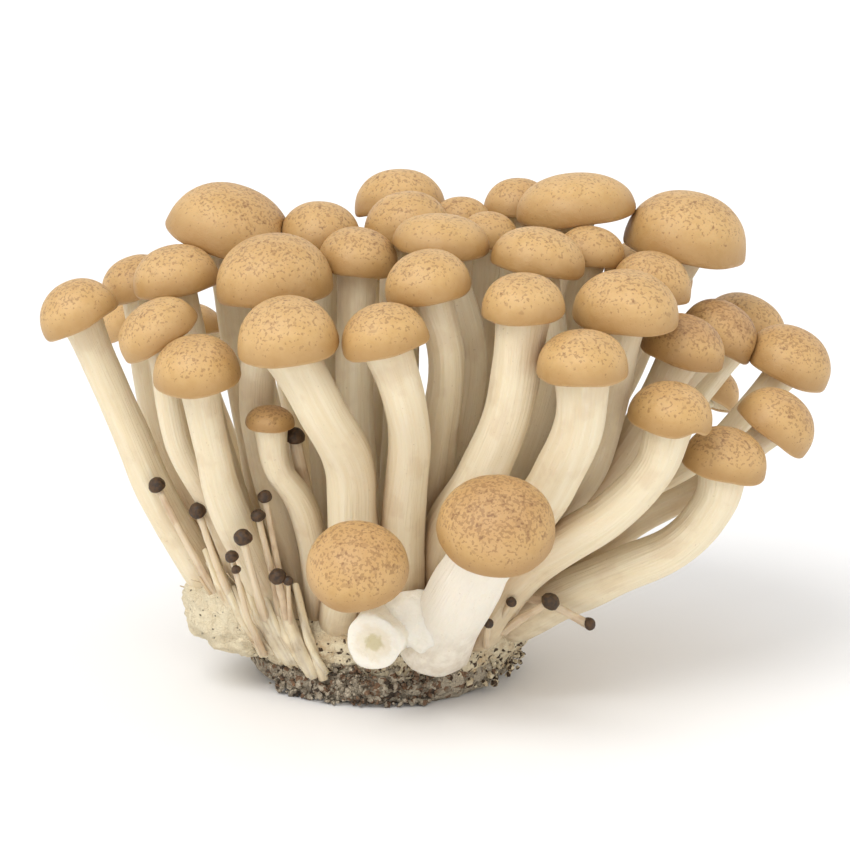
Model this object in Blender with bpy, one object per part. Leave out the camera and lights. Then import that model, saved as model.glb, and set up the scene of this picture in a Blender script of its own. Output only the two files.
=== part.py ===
"""A cluster of brown beech mushrooms, standing on the plate of substrate that it grew from.

Run it with: blender --background --python part.py

Units are metres, +Z is up and -Y is the front. The origin is the middle of the flat underside.
Each mushroom is one solid: its stem and its cap grew as one piece. Neighbours that grew into each other
are pressed flat where they meet, and a thin gap is left between them.
"""

import math
from dataclasses import dataclass

import bmesh
import bpy
import numpy as np
from mathutils import Matrix, Vector

MM = 0.001
UP = Vector((0, 0, 1))

# Driving dimensions, in millimetres
GAP = 0.32  # clearance left between neighbours
PLATE_TOP = 5.0  # height of the plate of substrate
ROOT_TOP = 12.0  # height of the root mass that the stems rise from
CAP_UNDER = 0.22  # depth of the space under a cap's widest line, in cap radii

SIDES = 10  # facets round a mushroom
PIN_SIDES = 6
STEM_RINGS = 5
STEM_SHAPE = (1.14, 1.04, 1.0, 0.94, 0.96)  # a stem's width from foot to cap, against its middle
PRESS = 0.94  # how far one step of pressing draws a crowded facet in
MOST_PRESSES = 60
SPOTS = 4  # lengths that a facet's edge is divided into, to keep its whole area clear of its neighbours

# The cap's outline as (share of the radius, share of the radius above or below its widest line).
# Above the widest line the height is multiplied by the cap's own dome.
UNDERSIDE = ((0.88, -0.11), (0.98, -0.07), (1.0, 0.0))
DOME = ((0.93, 0.42), (0.70, 0.76), (0.38, 0.95))
GILL_ROOT = -0.03  # where the gills meet the stem, in radii from the widest line


@dataclass(frozen=True)
class Mushroom:
    """One mushroom. Lengths are in millimetres and leans in degrees."""

    cap: tuple  # middle of the cap's widest line: right, back, up
    radius: float  # the cap's radius there
    dome: float  # the dome's height in cap radii
    lean: tuple  # how far the cap leans to the right and to the front
    stem: float  # the stem's radius in its middle
    foot: tuple  # where it leaves the base: right, back, up
    bends: tuple = ()  # points that the stem passes on its way up

    def axis(self):
        """The cap's axis, from its gills to its top."""
        right, front = (math.tan(math.radians(a)) for a in self.lean)
        return Vector((right, -front, 1.0)).normalized()


# Rows of mushrooms from the front of the cluster to its back, each from left to right.
ROWS = {
    "low_front": (
        Mushroom(
            (-4, -44, 30.5), 8.1, 0.95, (-3, 37), 3.2, (-8, -15, 12.3),
            ((-6.5, -23, 20.5), (-5, -31, 24)),
        ),
        Mushroom((18, -46, 37.5), 9.2, 0.95, (4, 35), 5.7, (8, -20.5, 11.0), ((11.8, -29, 20),)),
    ),
    "front": (
        Mushroom(
            (-30, -27, 58), 7.3, 0.95, (-4, 8), 3.1, (-17, -13, 12.3),
            ((-25.5, -21, 34), (-28, -25, 45.5)),
        ),
        Mushroom(
            (-15, -33, 64.5), 8.3, 0.98, (-8, 6), 4.1, (-3, -14, 12.3),
            ((-5, -24.5, 33), (-5.5, -28, 44), (-10, -32, 54)),
        ),
        Mushroom(
            (0.5, -33, 65), 6.9, 0.95, (-12, 3), 3.6, (3, -15, 12.3),
            ((3.2, -24, 33.5), (4.4, -28.5, 46.5), (3.4, -32, 55.5)),
        ),
        Mushroom(
            (22.5, -29, 69.5), 6.9, 0.88, (-2, 3), 4.2, (7.5, -11, 12.3),
            ((11, -20.5, 31), (16, -26, 41.5), (20.5, -28.5, 54)),
        ),
        Mushroom(
            (32, -35, 61), 7.5, 0.88, (0, 3), 4.2, (14.5, -13, 12.3),
            ((23, -24, 32), (28, -30, 42), (31.5, -33.5, 51.5)),
        ),
        Mushroom(
            (46.5, -28, 51), 6.8, 0.95, (8, 5), 3.7, (15.5, -17, 12.3),
            ((23.5, -22, 24.5), (37, -27, 35), (44, -28, 43)),
        ),
        Mushroom(
            (56, -20, 41.5), 6.9, 0.92, (12, 8), 3.8, (21.5, -11, 12.3),
            ((37, -17, 21.5), (48.5, -19, 27.5), (54.5, -20, 35)),
        ),
    ),
    "second": (
        Mushroom(
            (-50.5, -8, 63.5), 6.8, 1.0, (-25, 0), 3.2, (-26.5, -6, 12.3),
            ((-37, -7, 30), (-43.5, -8, 46)),
        ),
        Mushroom(
            (-36.5, -19, 63), 7.0, 0.86, (-33, 5), 2.5, (-21.5, -9.5, 12.3),
            ((-28, -13.5, 32), (-34, -16.5, 45)),
        ),
        Mushroom(
            (-18.5, -23.5, 49.5), 4.0, 0.72, (2, 5), 2.5, (-10, -13.5, 12.3),
            ((-13, -19.5, 33), (-17.5, -22.5, 42)),
        ),
        Mushroom(
            (7.5, -23, 71.5), 7.1, 0.95, (-10, 2), 3.2, (3.5, -8, 12.3),
            ((7, -14, 31), (9.5, -19, 49), (10.2, -22, 61)),
        ),
        Mushroom(
            (39.5, -21, 66.5), 8.6, 0.93, (4, 3), 3.3, (17, -8.5, 12.3),
            ((27.5, -15.5, 31), (35, -19.5, 44)),
        ),
        Mushroom((49, -15, 59), 7.0, 0.98, (15, 0), 3.3, (20, -6, 12.3), ((33.5, -13, 34), (41, -15, 44))),
        Mushroom(
            (64.5, -12, 45.5), 7.0, 1.0, (38, 0), 2.4, (24.5, -5, 12.3),
            ((41, -10, 28), (54, -11.5, 36)),
        ),
        Mushroom((68, 2, 52.5), 7.8, 0.98, (25, 0), 2.7, (25, 0.5, 12.3), ((40, -1, 28.5), (55, 0.5, 38))),
    ),
    "third": (
        Mushroom((-41.5, 4, 65.5), 6.5, 1.0, (-18, -5), 3.2, (-24, -1, 12.3), ((-33, 0, 31), (-39, 2, 46))),
        Mushroom((-34.5, -6, 69), 7.2, 0.93, (-8, 0), 2.8, (-18.5, -5, 12.3), ((-27, -6, 36),)),
        Mushroom(
            (-18, -14.5, 70), 9.7, 0.95, (-5, 2), 3.0, (-12.5, -8, 12.3),
            ((-19.5, -14, 40), (-21, -15, 54)),
        ),
        Mushroom((-4.5, -7.5, 72.5), 6.8, 0.95, (8, 0), 3.2, (-3, -6, 12.3), ((-5, -8.5, 46),)),
        Mushroom((9.5, -8, 76), 8.1, 0.65, (4, 0), 3.0, (7, -3, 12.3), ((13, -9, 45), (14, -9.5, 60))),
        Mushroom(
            (25.5, -11, 73.5), 7.8, 0.78, (10, 0), 3.2, (12.5, -5, 12.3),
            ((23.5, -11.5, 42), (27.5, -12, 57)),
        ),
        Mushroom((44.5, -5.5, 68), 6.8, 0.95, (12, 0), 2.9, (19, -1.5, 12.3), ((34, -4.5, 42),)),
        Mushroom((56, 1, 58), 6.8, 1.0, (30, 0), 2.9, (21, 3, 12.3), ((36, 2, 34),)),
    ),
    "crown": (
        Mushroom((-27, 6.5, 73.5), 10.8, 0.95, (20, -3), 3.4, (-16, 0, 12.3), ((-23, 3.5, 45),)),
        Mushroom((-11, 4.5, 74), 7.1, 1.0, (5, -5), 2.9, (-8, -1.5, 12.3), ((-10.5, 2, 45),)),
        Mushroom((4, 6.5, 75), 7.5, 1.0, (-8, -5), 2.9, (1, 0, 12.3), ((2.5, 3.5, 45),)),
        Mushroom((17.5, 4, 74.5), 5.0, 1.0, (5, 0), 2.3, (10, 2.5, 12.3), ((15.5, 3.5, 45),)),
        Mushroom((34.5, -1, 72.5), 5.7, 0.95, (10, 0), 2.6, (15, 1, 12.3), ((26, 0, 42),)),
        Mushroom((51, 9, 72), 10.8, 0.93, (9, -3), 3.4, (18, 7, 12.3), ((36, 8, 42),)),
        Mushroom((2.5, 23, 76), 7.8, 0.95, (0, -10), 3.2, (0, 7, 12.3), ((1, 15, 45),)),
        Mushroom((13, 14, 75), 5.2, 1.0, (0, -5), 2.4, (6, 6, 12.3), ((10, 10.5, 45),)),
        Mushroom((23, 21, 76), 6.2, 1.0, (0, -8), 2.7, (10.5, 9, 12.3), ((18, 16, 45),)),
        Mushroom((32.5, 10.5, 78), 10.1, 0.68, (-5, -3), 3.3, (13.5, 5.5, 12.3), ((24.5, 9, 45),)),
    ),
    "back_upper": (
        Mushroom((-42, 18, 57), 7.5, 0.95, (-24, -8), 2.9, (-23, 5, 12.3), ((-33, 10.5, 34),)),
        Mushroom((-27, 25, 66), 8.2, 0.92, (-10, -14), 3.1, (-14, 7, 12.3), ((-21, 16, 40),)),
        Mushroom((-11.5, 20.5, 70), 7.6, 0.90, (-3, -10), 2.9, (-6.5, 6, 12.3), ((-9.5, 13.5, 44),)),
        Mushroom((14, 30, 67), 7.4, 0.92, (4, -16), 2.9, (5, 12.5, 12.3), ((10.5, 22, 42),)),
        Mushroom((31, 30, 66), 8.0, 0.90, (8, -14), 3.1, (13, 12, 12.3), ((23, 22, 40),)),
        Mushroom((46, 26, 63), 8.0, 0.92, (16, -12), 3.0, (18.5, 11, 12.3), ((33, 19, 38),)),
        Mushroom((62, 18, 55), 7.6, 0.95, (26, -8), 2.9, (22.5, 7, 12.3), ((42, 13, 31),)),
    ),
    "back_lower": (
        Mushroom((-36, 34, 50), 7.6, 0.92, (-20, -24), 2.9, (-18, 9.5, 12.3), ((-27.5, 21, 31),)),
        Mushroom((-19, 40, 54), 8.3, 0.90, (-8, -26), 3.1, (-10, 12, 12.3), ((-15, 27, 34),)),
        Mushroom((-2, 38, 60), 7.8, 0.92, (0, -22), 3.0, (-2, 13, 12.3), ((-2, 26, 38),)),
        Mushroom((12, 46, 50), 7.6, 0.94, (4, -30), 2.8, (4, 17, 12.3), ((8, 32, 31),)),
        Mushroom((28, 44, 53), 8.2, 0.90, (10, -27), 3.0, (11, 16, 12.3), ((20, 30, 33),)),
        Mushroom((45, 38, 50), 7.8, 0.92, (18, -24), 2.9, (17, 14.5, 12.3), ((31, 27, 31),)),
        Mushroom((56, 27, 42), 6.4, 0.95, (28, -20), 2.5, (22, 11.5, 12.3), ((40, 20, 26),)),
    ),
}

# Brown-headed young ones that never opened
PINS = (
    Mushroom((-38, -12.5, 36), 1.5, 1.0, (-25, 20), 0.65, (-26, -12, 12.3), ((-33, -13.5, 26),)),
    Mushroom((-31, -16, 32.5), 1.6, 1.0, (-25, 20), 0.65, (-24, -13.5, 12.3), ((-27.5, -16.5, 22),)),
    Mushroom((-23, -27, 31), 1.6, 1.0, (-15, 20), 0.7, (-19.5, -17, 12.3), ((-21, -23.5, 21),)),
    Mushroom((-17.5, -25, 23.8), 1.5, 1.0, (-15, 30), 0.7, (-16, -18, 12.3), ((-16.5, -22, 17.5),)),
    Mushroom((27.5, -23.5, 19), 1.6, 1.0, (35, 30), 0.7, (19.5, -19.5, 12.3), ((23, -22.5, 16),)),
)

# The short stem that was cut through, from its root to its cut face
STUB = ((3, -17.5, 14), (0.5, -26, 15.5), (-1.5, -33.5, 15.3))
STUB_RADIUS = 4.7

# The root mass and the plate, as (height, half width, half depth, shift to the right)
BLOCK_SIDES = 24
ROOT_LEVELS = ((5.34, 23.2, 20, 0), (7, 26, 20.8, -1.5), (9.5, 28.8, 21.2, -1.8), (ROOT_TOP, 29, 20.5, -1.5))
ROOT_LOBES = ((3, 0.02, 0.4), (7, 0.015, 1.1))
PLATE_LEVELS = ((0, 19.5, 19.5, 0), (1.2, 21.5, 21.2, 0), (3.6, 23.2, 21.8, 0), (PLATE_TOP, 22.8, 21, 0))
PLATE_LOBES = ((4, 0.015, 0.2), (9, 0.01, 0.7))


def mushrooms():
    """Every mushroom by name, in the order that the rows list them."""
    return {f"{row}_mushroom_{n}": m for row, members in ROWS.items() for n, m in enumerate(members, 1)}


class Line:
    """A smooth centre line through points, with its thickness along the way."""

    def __init__(self, points, radii, samples=16):
        self.knots = [2 * points[0] - points[1], *points, 2 * points[-1] - points[-2]]
        spans = len(points) - 1
        shares = np.linspace(0, spans, spans * samples + 1)
        self.points = np.array([self.on_curve(min(int(s), spans - 1), s) for s in shares])
        steps = np.linalg.norm(np.diff(self.points, axis=0), axis=1)
        self.along = np.concatenate([[0.0], np.cumsum(steps)]) / steps.sum()
        self.radii = radii

    def on_curve(self, span, place):
        """The point at a place on one span of the curve, by Catmull and Rom's rule."""
        a, b, c, d = self.knots[span : span + 4]
        t = place - span
        bend = 2 * a - 5 * b + 4 * c - d
        twist = 3 * b - a - 3 * c + d
        return 0.5 * (2 * b + (c - a) * t + bend * t**2 + twist * t**3)

    def at(self, share):
        """The point at a share of the length."""
        return Vector([float(np.interp(share, self.along, self.points[:, k])) for k in range(3)])

    def direction(self, share, step=0.03):
        """Which way the line runs there."""
        return (self.at(min(1.0, share + step)) - self.at(max(0.0, share - step))).normalized()

    def radius(self, share):
        """The thickness there, as a radius."""
        return float(np.interp(share, np.linspace(0, 1, len(self.radii)), self.radii))


class Body:
    """The space that one grown piece takes, as a depth: negative inside it and positive outside."""

    def __init__(self, line, cap=None, beads=12):
        self.cap = cap
        shares = np.linspace(0, 1, beads)
        self.beads = np.array([line.at(s) for s in shares])
        self.radii = np.array([line.radius(s) for s in shares])
        tops = [self.beads + self.radii[:, None], self.beads - self.radii[:, None]]
        if cap:
            self.centre, self.axis = np.array(cap.cap, float), np.array(cap.axis())
            tops += [self.centre[None] + cap.radius, self.centre[None] - cap.radius]
        self.low, self.high = np.vstack(tops).min(axis=0), np.vstack(tops).max(axis=0)

    def near(self, other):
        """Whether the boxes round the two come within reach of one another."""
        return bool((self.low < other.high + 1).all() and (other.low < self.high + 1).all())

    def holds(self, points):
        """Which of the points are in or next to the box round it."""
        return ((points > self.low - 1) & (points < self.high + 1)).all(axis=1)

    def depth(self, points):
        """The depth of each point, in millimetres."""
        stem = self.stem_depth(points)
        return np.minimum(stem, self.cap_depth(points)) if self.cap else stem

    def cap_depth(self, points):
        """Depth against the cap, taken as two half ellipsoids."""
        radius = self.cap.radius
        away = points - self.centre
        height = away @ self.axis
        tall = np.where(height > 0, radius * self.cap.dome, radius * CAP_UNDER)
        out = np.linalg.norm(away - height[:, None] * self.axis, axis=1)
        reach = np.hypot(out / radius, height / tall) + 1e-6
        return np.hypot(out, height) * (1 - 1 / reach) - radius * CAP_UNDER * (reach < 1e-3)

    def stem_depth(self, points):
        """Depth against the stem, taken as short tapered lengths."""
        depth = np.full(len(points), np.inf)
        for a, b, thick, thin in zip(self.beads, self.beads[1:], self.radii, self.radii[1:]):
            share = np.clip((points - a) @ (b - a) / ((b - a) @ (b - a)), 0, 1)
            away = np.linalg.norm(points - a - share[:, None] * (b - a), axis=1)
            depth = np.minimum(depth, away - thick - share * (thin - thick))
        return depth


def facet_spots():
    """Evenly spaced places on a facet, as shares of its three corners."""
    steps = range(SPOTS + 1)
    return [np.array((i, j, SPOTS - i - j)) / SPOTS for i in steps for j in steps if i + j <= SPOTS]


class Skin:
    """A closed skin grown ring by ring. Each corner knows the point on the centre line that it hangs on."""

    def __init__(self, middle, run, radius, sides):
        self.bm = bmesh.new()
        place = Matrix.Translation(middle) @ UP.rotation_difference(run).to_matrix().to_4x4()
        made = bmesh.ops.create_circle(self.bm, cap_ends=True, segments=sides, radius=radius, matrix=place)
        self.rim = list(self.bm.edges)
        self.last = (middle, run, radius)
        self.anchors = {v: middle for v in made["verts"]}

    def grow(self, middle, run, radius, anchor=None):
        """Extrudes the rim to a new ring."""
        grown = bmesh.ops.extrude_edge_only(self.bm, edges=self.rim)["geom"]
        verts = [g for g in grown if isinstance(g, bmesh.types.BMVert)]
        self.rim = [g for g in grown if isinstance(g, bmesh.types.BMEdge) and set(g.verts) <= set(verts)]
        old_middle, old_run, old_radius = self.last
        turn = old_run.rotation_difference(run).to_matrix().to_4x4()
        size = Matrix.Scale(radius / old_radius, 4)
        move = Matrix.Translation(middle) @ turn @ size @ Matrix.Translation(-old_middle)
        bmesh.ops.transform(self.bm, matrix=move, verts=verts)
        self.last = (middle, run, radius)
        self.anchors.update({v: anchor or middle for v in verts})
        return verts

    def close(self, tip, anchor):
        """Draws the rim together at a tip."""
        verts = self.grow(tip, self.last[1], self.last[2] / 2, anchor)
        bmesh.ops.pointmerge(self.bm, verts=verts, merge_co=tip)
        self.anchors = {v: a for v, a in self.anchors.items() if v.is_valid}

    def press(self, own, others):
        """Draws the skin in towards its anchors wherever it would come into a neighbour's space."""
        bmesh.ops.recalc_face_normals(self.bm, faces=self.bm.faces)
        bmesh.ops.triangulate(self.bm, faces=self.bm.faces)
        verts = list(self.bm.verts)
        self.bm.verts.index_update()
        corners = np.array([[v.index for v in f.verts] for f in self.bm.faces])
        full = np.array([v.co for v in verts])
        anchors = np.array([self.anchors[v] for v in verts])
        shares = np.ones(len(verts))
        tight = shares > 0
        for _ in range(MOST_PRESSES):
            points = anchors + (full - anchors) * shares[:, None]
            moved = corners[tight[corners].any(axis=1)]
            tight = np.zeros(len(verts), bool)
            for weights in facet_spots():
                spots = np.einsum("k,nkd->nd", weights, points[moved])
                for other in others:
                    close = np.flatnonzero(other.holds(spots))
                    room = other.depth(spots[close]) - (own.depth(spots[close]) if own else 0)
                    tight[moved[close[room < GAP]][:, weights > 0]] = True
            if not tight.any():
                break
            shares[tight] *= PRESS
        for v, point in zip(verts, points):
            v.co = point

    def finish(self, name, materials):
        """Turns the skin into a named object."""
        bmesh.ops.recalc_face_normals(self.bm, faces=self.bm.faces)
        bmesh.ops.scale(self.bm, vec=(MM, MM, MM), verts=self.bm.verts)
        mesh = bpy.data.meshes.new(name)
        for face in self.bm.faces:
            face.smooth = True
        self.bm.to_mesh(mesh)
        self.bm.free()
        for material in materials:
            mesh.materials.append(material)
        obj = bpy.data.objects.new(name, mesh)
        bpy.context.collection.objects.link(obj)
        return obj


def stem_line(mushroom):
    """The centre line of a stem, from its foot to its gills."""
    neck = Vector(mushroom.cap) + mushroom.axis() * mushroom.radius * GILL_ROOT
    points = [Vector(p) for p in (mushroom.foot, *mushroom.bends)] + [neck]
    return Line(points, [mushroom.stem * w for w in STEM_SHAPE])


def mushroom_skin(mushroom, line, sides=SIDES):
    """The skin of a mushroom from its flat foot to the top of its dome."""
    axis, middle, radius = mushroom.axis(), Vector(mushroom.cap), mushroom.radius
    skin = Skin(line.at(0), UP, line.radius(0), sides)
    for k in range(1, STEM_RINGS):
        share = k / (STEM_RINGS - 1)
        run = axis if k == STEM_RINGS - 1 else line.direction(share)
        skin.grow(line.at(share), run, line.radius(share))
    for out, height in UNDERSIDE:
        skin.grow(middle + axis * radius * height, axis, radius * out, middle)
    for out, height in DOME:
        skin.grow(middle + axis * radius * mushroom.dome * height, axis, radius * out, middle)
    skin.close(middle + axis * radius * mushroom.dome, middle)
    return skin


def stub_skin(line):
    """The skin of the short stem that was cut through, with a flat cut face."""
    skin = Skin(line.at(0), line.direction(0), line.radius(0), SIDES)
    for share in (0.35, 0.7, 1.0):
        skin.grow(line.at(share), line.direction(share), line.radius(share))
    middle = line.at(1.0)
    skin.grow(middle, line.direction(1.0), line.radius(1.0) * 0.5)
    skin.close(middle, line.at(0.9))
    return skin


def round_block(levels, lobes):
    """A round block grown through levels of (height, width, depth, shift right), with a lumpy outline."""
    height, *_ = levels[0]
    skin = Skin(Vector((0, 0, height)), UP, 1.0, BLOCK_SIDES)
    rings = [list(skin.bm.verts)]
    for height, *_ in levels[1:]:
        rings.append(skin.grow(Vector((0, 0, height)), UP, 1.0))
    bmesh.ops.contextual_create(skin.bm, geom=rings[-1])
    for ring, (height, width, depth, shift) in zip(rings, levels):
        for v in ring:
            turn = math.atan2(v.co.y, v.co.x)
            lump = 1 + sum(size * math.cos(count * turn + phase) for count, size, phase in lobes)
            v.co = Vector((shift + width * lump * math.cos(turn), depth * lump * math.sin(turn), height))
            skin.anchors[v] = Vector((shift, 0, height))
    return skin


def material(name, colour, roughness):
    """A plain material."""
    made = bpy.data.materials.new(name)
    made.use_nodes = True
    made.diffuse_color = (*colour, 1)
    shader = made.node_tree.nodes["Principled BSDF"]
    shader.inputs["Base Color"].default_value = (*colour, 1)
    shader.inputs["Roughness"].default_value = roughness
    return made


def paint_cap(obj, mushroom):
    """Gives the facets of the cap's outside the second material."""
    middle, axis = Vector(mushroom.cap) * MM, mushroom.axis()
    reach = mushroom.radius * MM
    for face in obj.data.polygons:
        away = face.center - middle
        face.material_index = int(away.length > 0.6 * reach and away.dot(axis) > -0.2 * reach)


def clear_scene():
    """Empties the scene."""
    for obj in list(bpy.data.objects):
        bpy.data.objects.remove(obj, do_unlink=True)


def main():
    clear_scene()
    cream = material("cream_stem", (0.78, 0.66, 0.46), 0.6)
    tan = material("tan_cap", (0.56, 0.34, 0.15), 0.45)
    brown = material("brown_pin", (0.08, 0.04, 0.02), 0.5)
    white = material("white_cut", (0.84, 0.72, 0.52), 0.6)
    mycelium = material("pale_root", (0.72, 0.60, 0.42), 0.9)
    soil = material("brown_substrate", (0.25, 0.18, 0.11), 0.95)

    grown = dict(mushrooms())
    grown.update({f"pin_{n}": pin for n, pin in enumerate(PINS, 1)})
    lines = {name: stem_line(m) for name, m in grown.items()}
    bodies = {name: Body(lines[name], m) for name, m in grown.items()}
    stub = Line([Vector(p) for p in STUB], [STUB_RADIUS, STUB_RADIUS])
    bodies["cut_stub"] = Body(stub)

    for name, body in bodies.items():
        others = [b for n, b in bodies.items() if n != name and b.near(body)]
        pin = name.startswith("pin")
        if name == "cut_stub":
            skin = stub_skin(stub)
        else:
            skin = mushroom_skin(grown[name], lines[name], PIN_SIDES if pin else SIDES)
        skin.press(body, others)
        colours = (white,) if name == "cut_stub" else (cream, brown if pin else tan)
        obj = skin.finish(name, colours)
        if name in grown:
            paint_cap(obj, grown[name])

    root = round_block(ROOT_LEVELS, ROOT_LOBES)
    root.press(None, [bodies["cut_stub"], bodies["low_front_mushroom_2"]])
    root.finish("root_mass", (mycelium,))
    round_block(PLATE_LEVELS, PLATE_LOBES).finish("substrate_plate", (soil,))


main()
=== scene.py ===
"""A cluster of brown beech mushrooms on the root mass and the plate of substrate that it grew from.

The mushrooms are built round by round from their feet to the tops of their caps, at the places of the
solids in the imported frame. Sizes in the classes are in millimetres. A finished mesh is in metres.
"""

import logging
import math
from collections.abc import Callable, Iterable
from dataclasses import dataclass
from enum import Enum

import bmesh
import bpy
import numpy as np
from bpy.types import Material
from mathutils import Matrix, Vector, noise


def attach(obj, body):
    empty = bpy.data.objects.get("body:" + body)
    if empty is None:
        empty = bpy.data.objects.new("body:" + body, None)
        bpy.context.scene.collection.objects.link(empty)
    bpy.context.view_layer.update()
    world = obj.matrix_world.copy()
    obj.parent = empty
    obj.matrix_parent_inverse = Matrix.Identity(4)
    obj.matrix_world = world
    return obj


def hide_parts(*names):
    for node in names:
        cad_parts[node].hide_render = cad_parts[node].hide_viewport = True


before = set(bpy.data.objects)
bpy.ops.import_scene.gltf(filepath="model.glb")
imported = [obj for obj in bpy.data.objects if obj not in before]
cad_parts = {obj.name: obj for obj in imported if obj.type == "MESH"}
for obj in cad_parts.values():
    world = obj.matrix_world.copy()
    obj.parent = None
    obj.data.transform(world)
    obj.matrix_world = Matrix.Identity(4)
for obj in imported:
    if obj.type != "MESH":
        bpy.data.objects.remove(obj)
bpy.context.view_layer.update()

LOG = logging.getLogger("mushrooms")
MM = 0.001
UP = Vector((0, 0, 1))
BODY = "root"


class Slot(str, Enum):
    """The record's material slots."""

    MUSHROOM = "mushroom"
    PIN = "pin"
    STUB = "cut_stub"
    ROOT = "root_mass"
    SUBSTRATE = "substrate"


class Finish(int, Enum):
    """Which of a mushroom's three finishes a facet has."""

    STEM = 0
    GILLS = 1
    CAP = 2


# -------------------- the mushrooms


@dataclass(frozen=True)
class Mushroom:
    """One mushroom. Lengths are in millimetres and leans in degrees.

    Args:
        cap: Middle of the cap's widest line: right, back, up.
        radius: The cap's radius there.
        dome: The dome's height in cap radii.
        lean: How far the cap leans to the right and to the front.
        stem: The stem's radius in its middle.
        foot: Where the stem leaves the base: right, back, up.
        bends: Points that the stem passes on its way up.
        tone: How far the cap's colour is from golden towards russet brown, from 0 to 1.
        curl: Which way round the rim a small lip curls up, in degrees, and how high, in cap radii.
        white: How much whiter than the others its stem is, from 0 to 1.
    """

    cap: tuple[float, float, float]
    radius: float
    dome: float
    lean: tuple[float, float]
    stem: float
    foot: tuple[float, float, float]
    bends: tuple[tuple[float, float, float], ...] = ()
    tone: float = 0.25
    curl: tuple[float, float] = (0.0, 0.0)
    white: float = 0.0

    def axis(self) -> Vector:
        """The cap's axis, from its gills to its top."""
        right, front = (math.tan(math.radians(a)) for a in self.lean)
        return Vector((right, -front, 1.0)).normalized()

    def middle(self) -> Vector:
        """The middle of the cap's widest line."""
        return Vector(self.cap)



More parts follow.
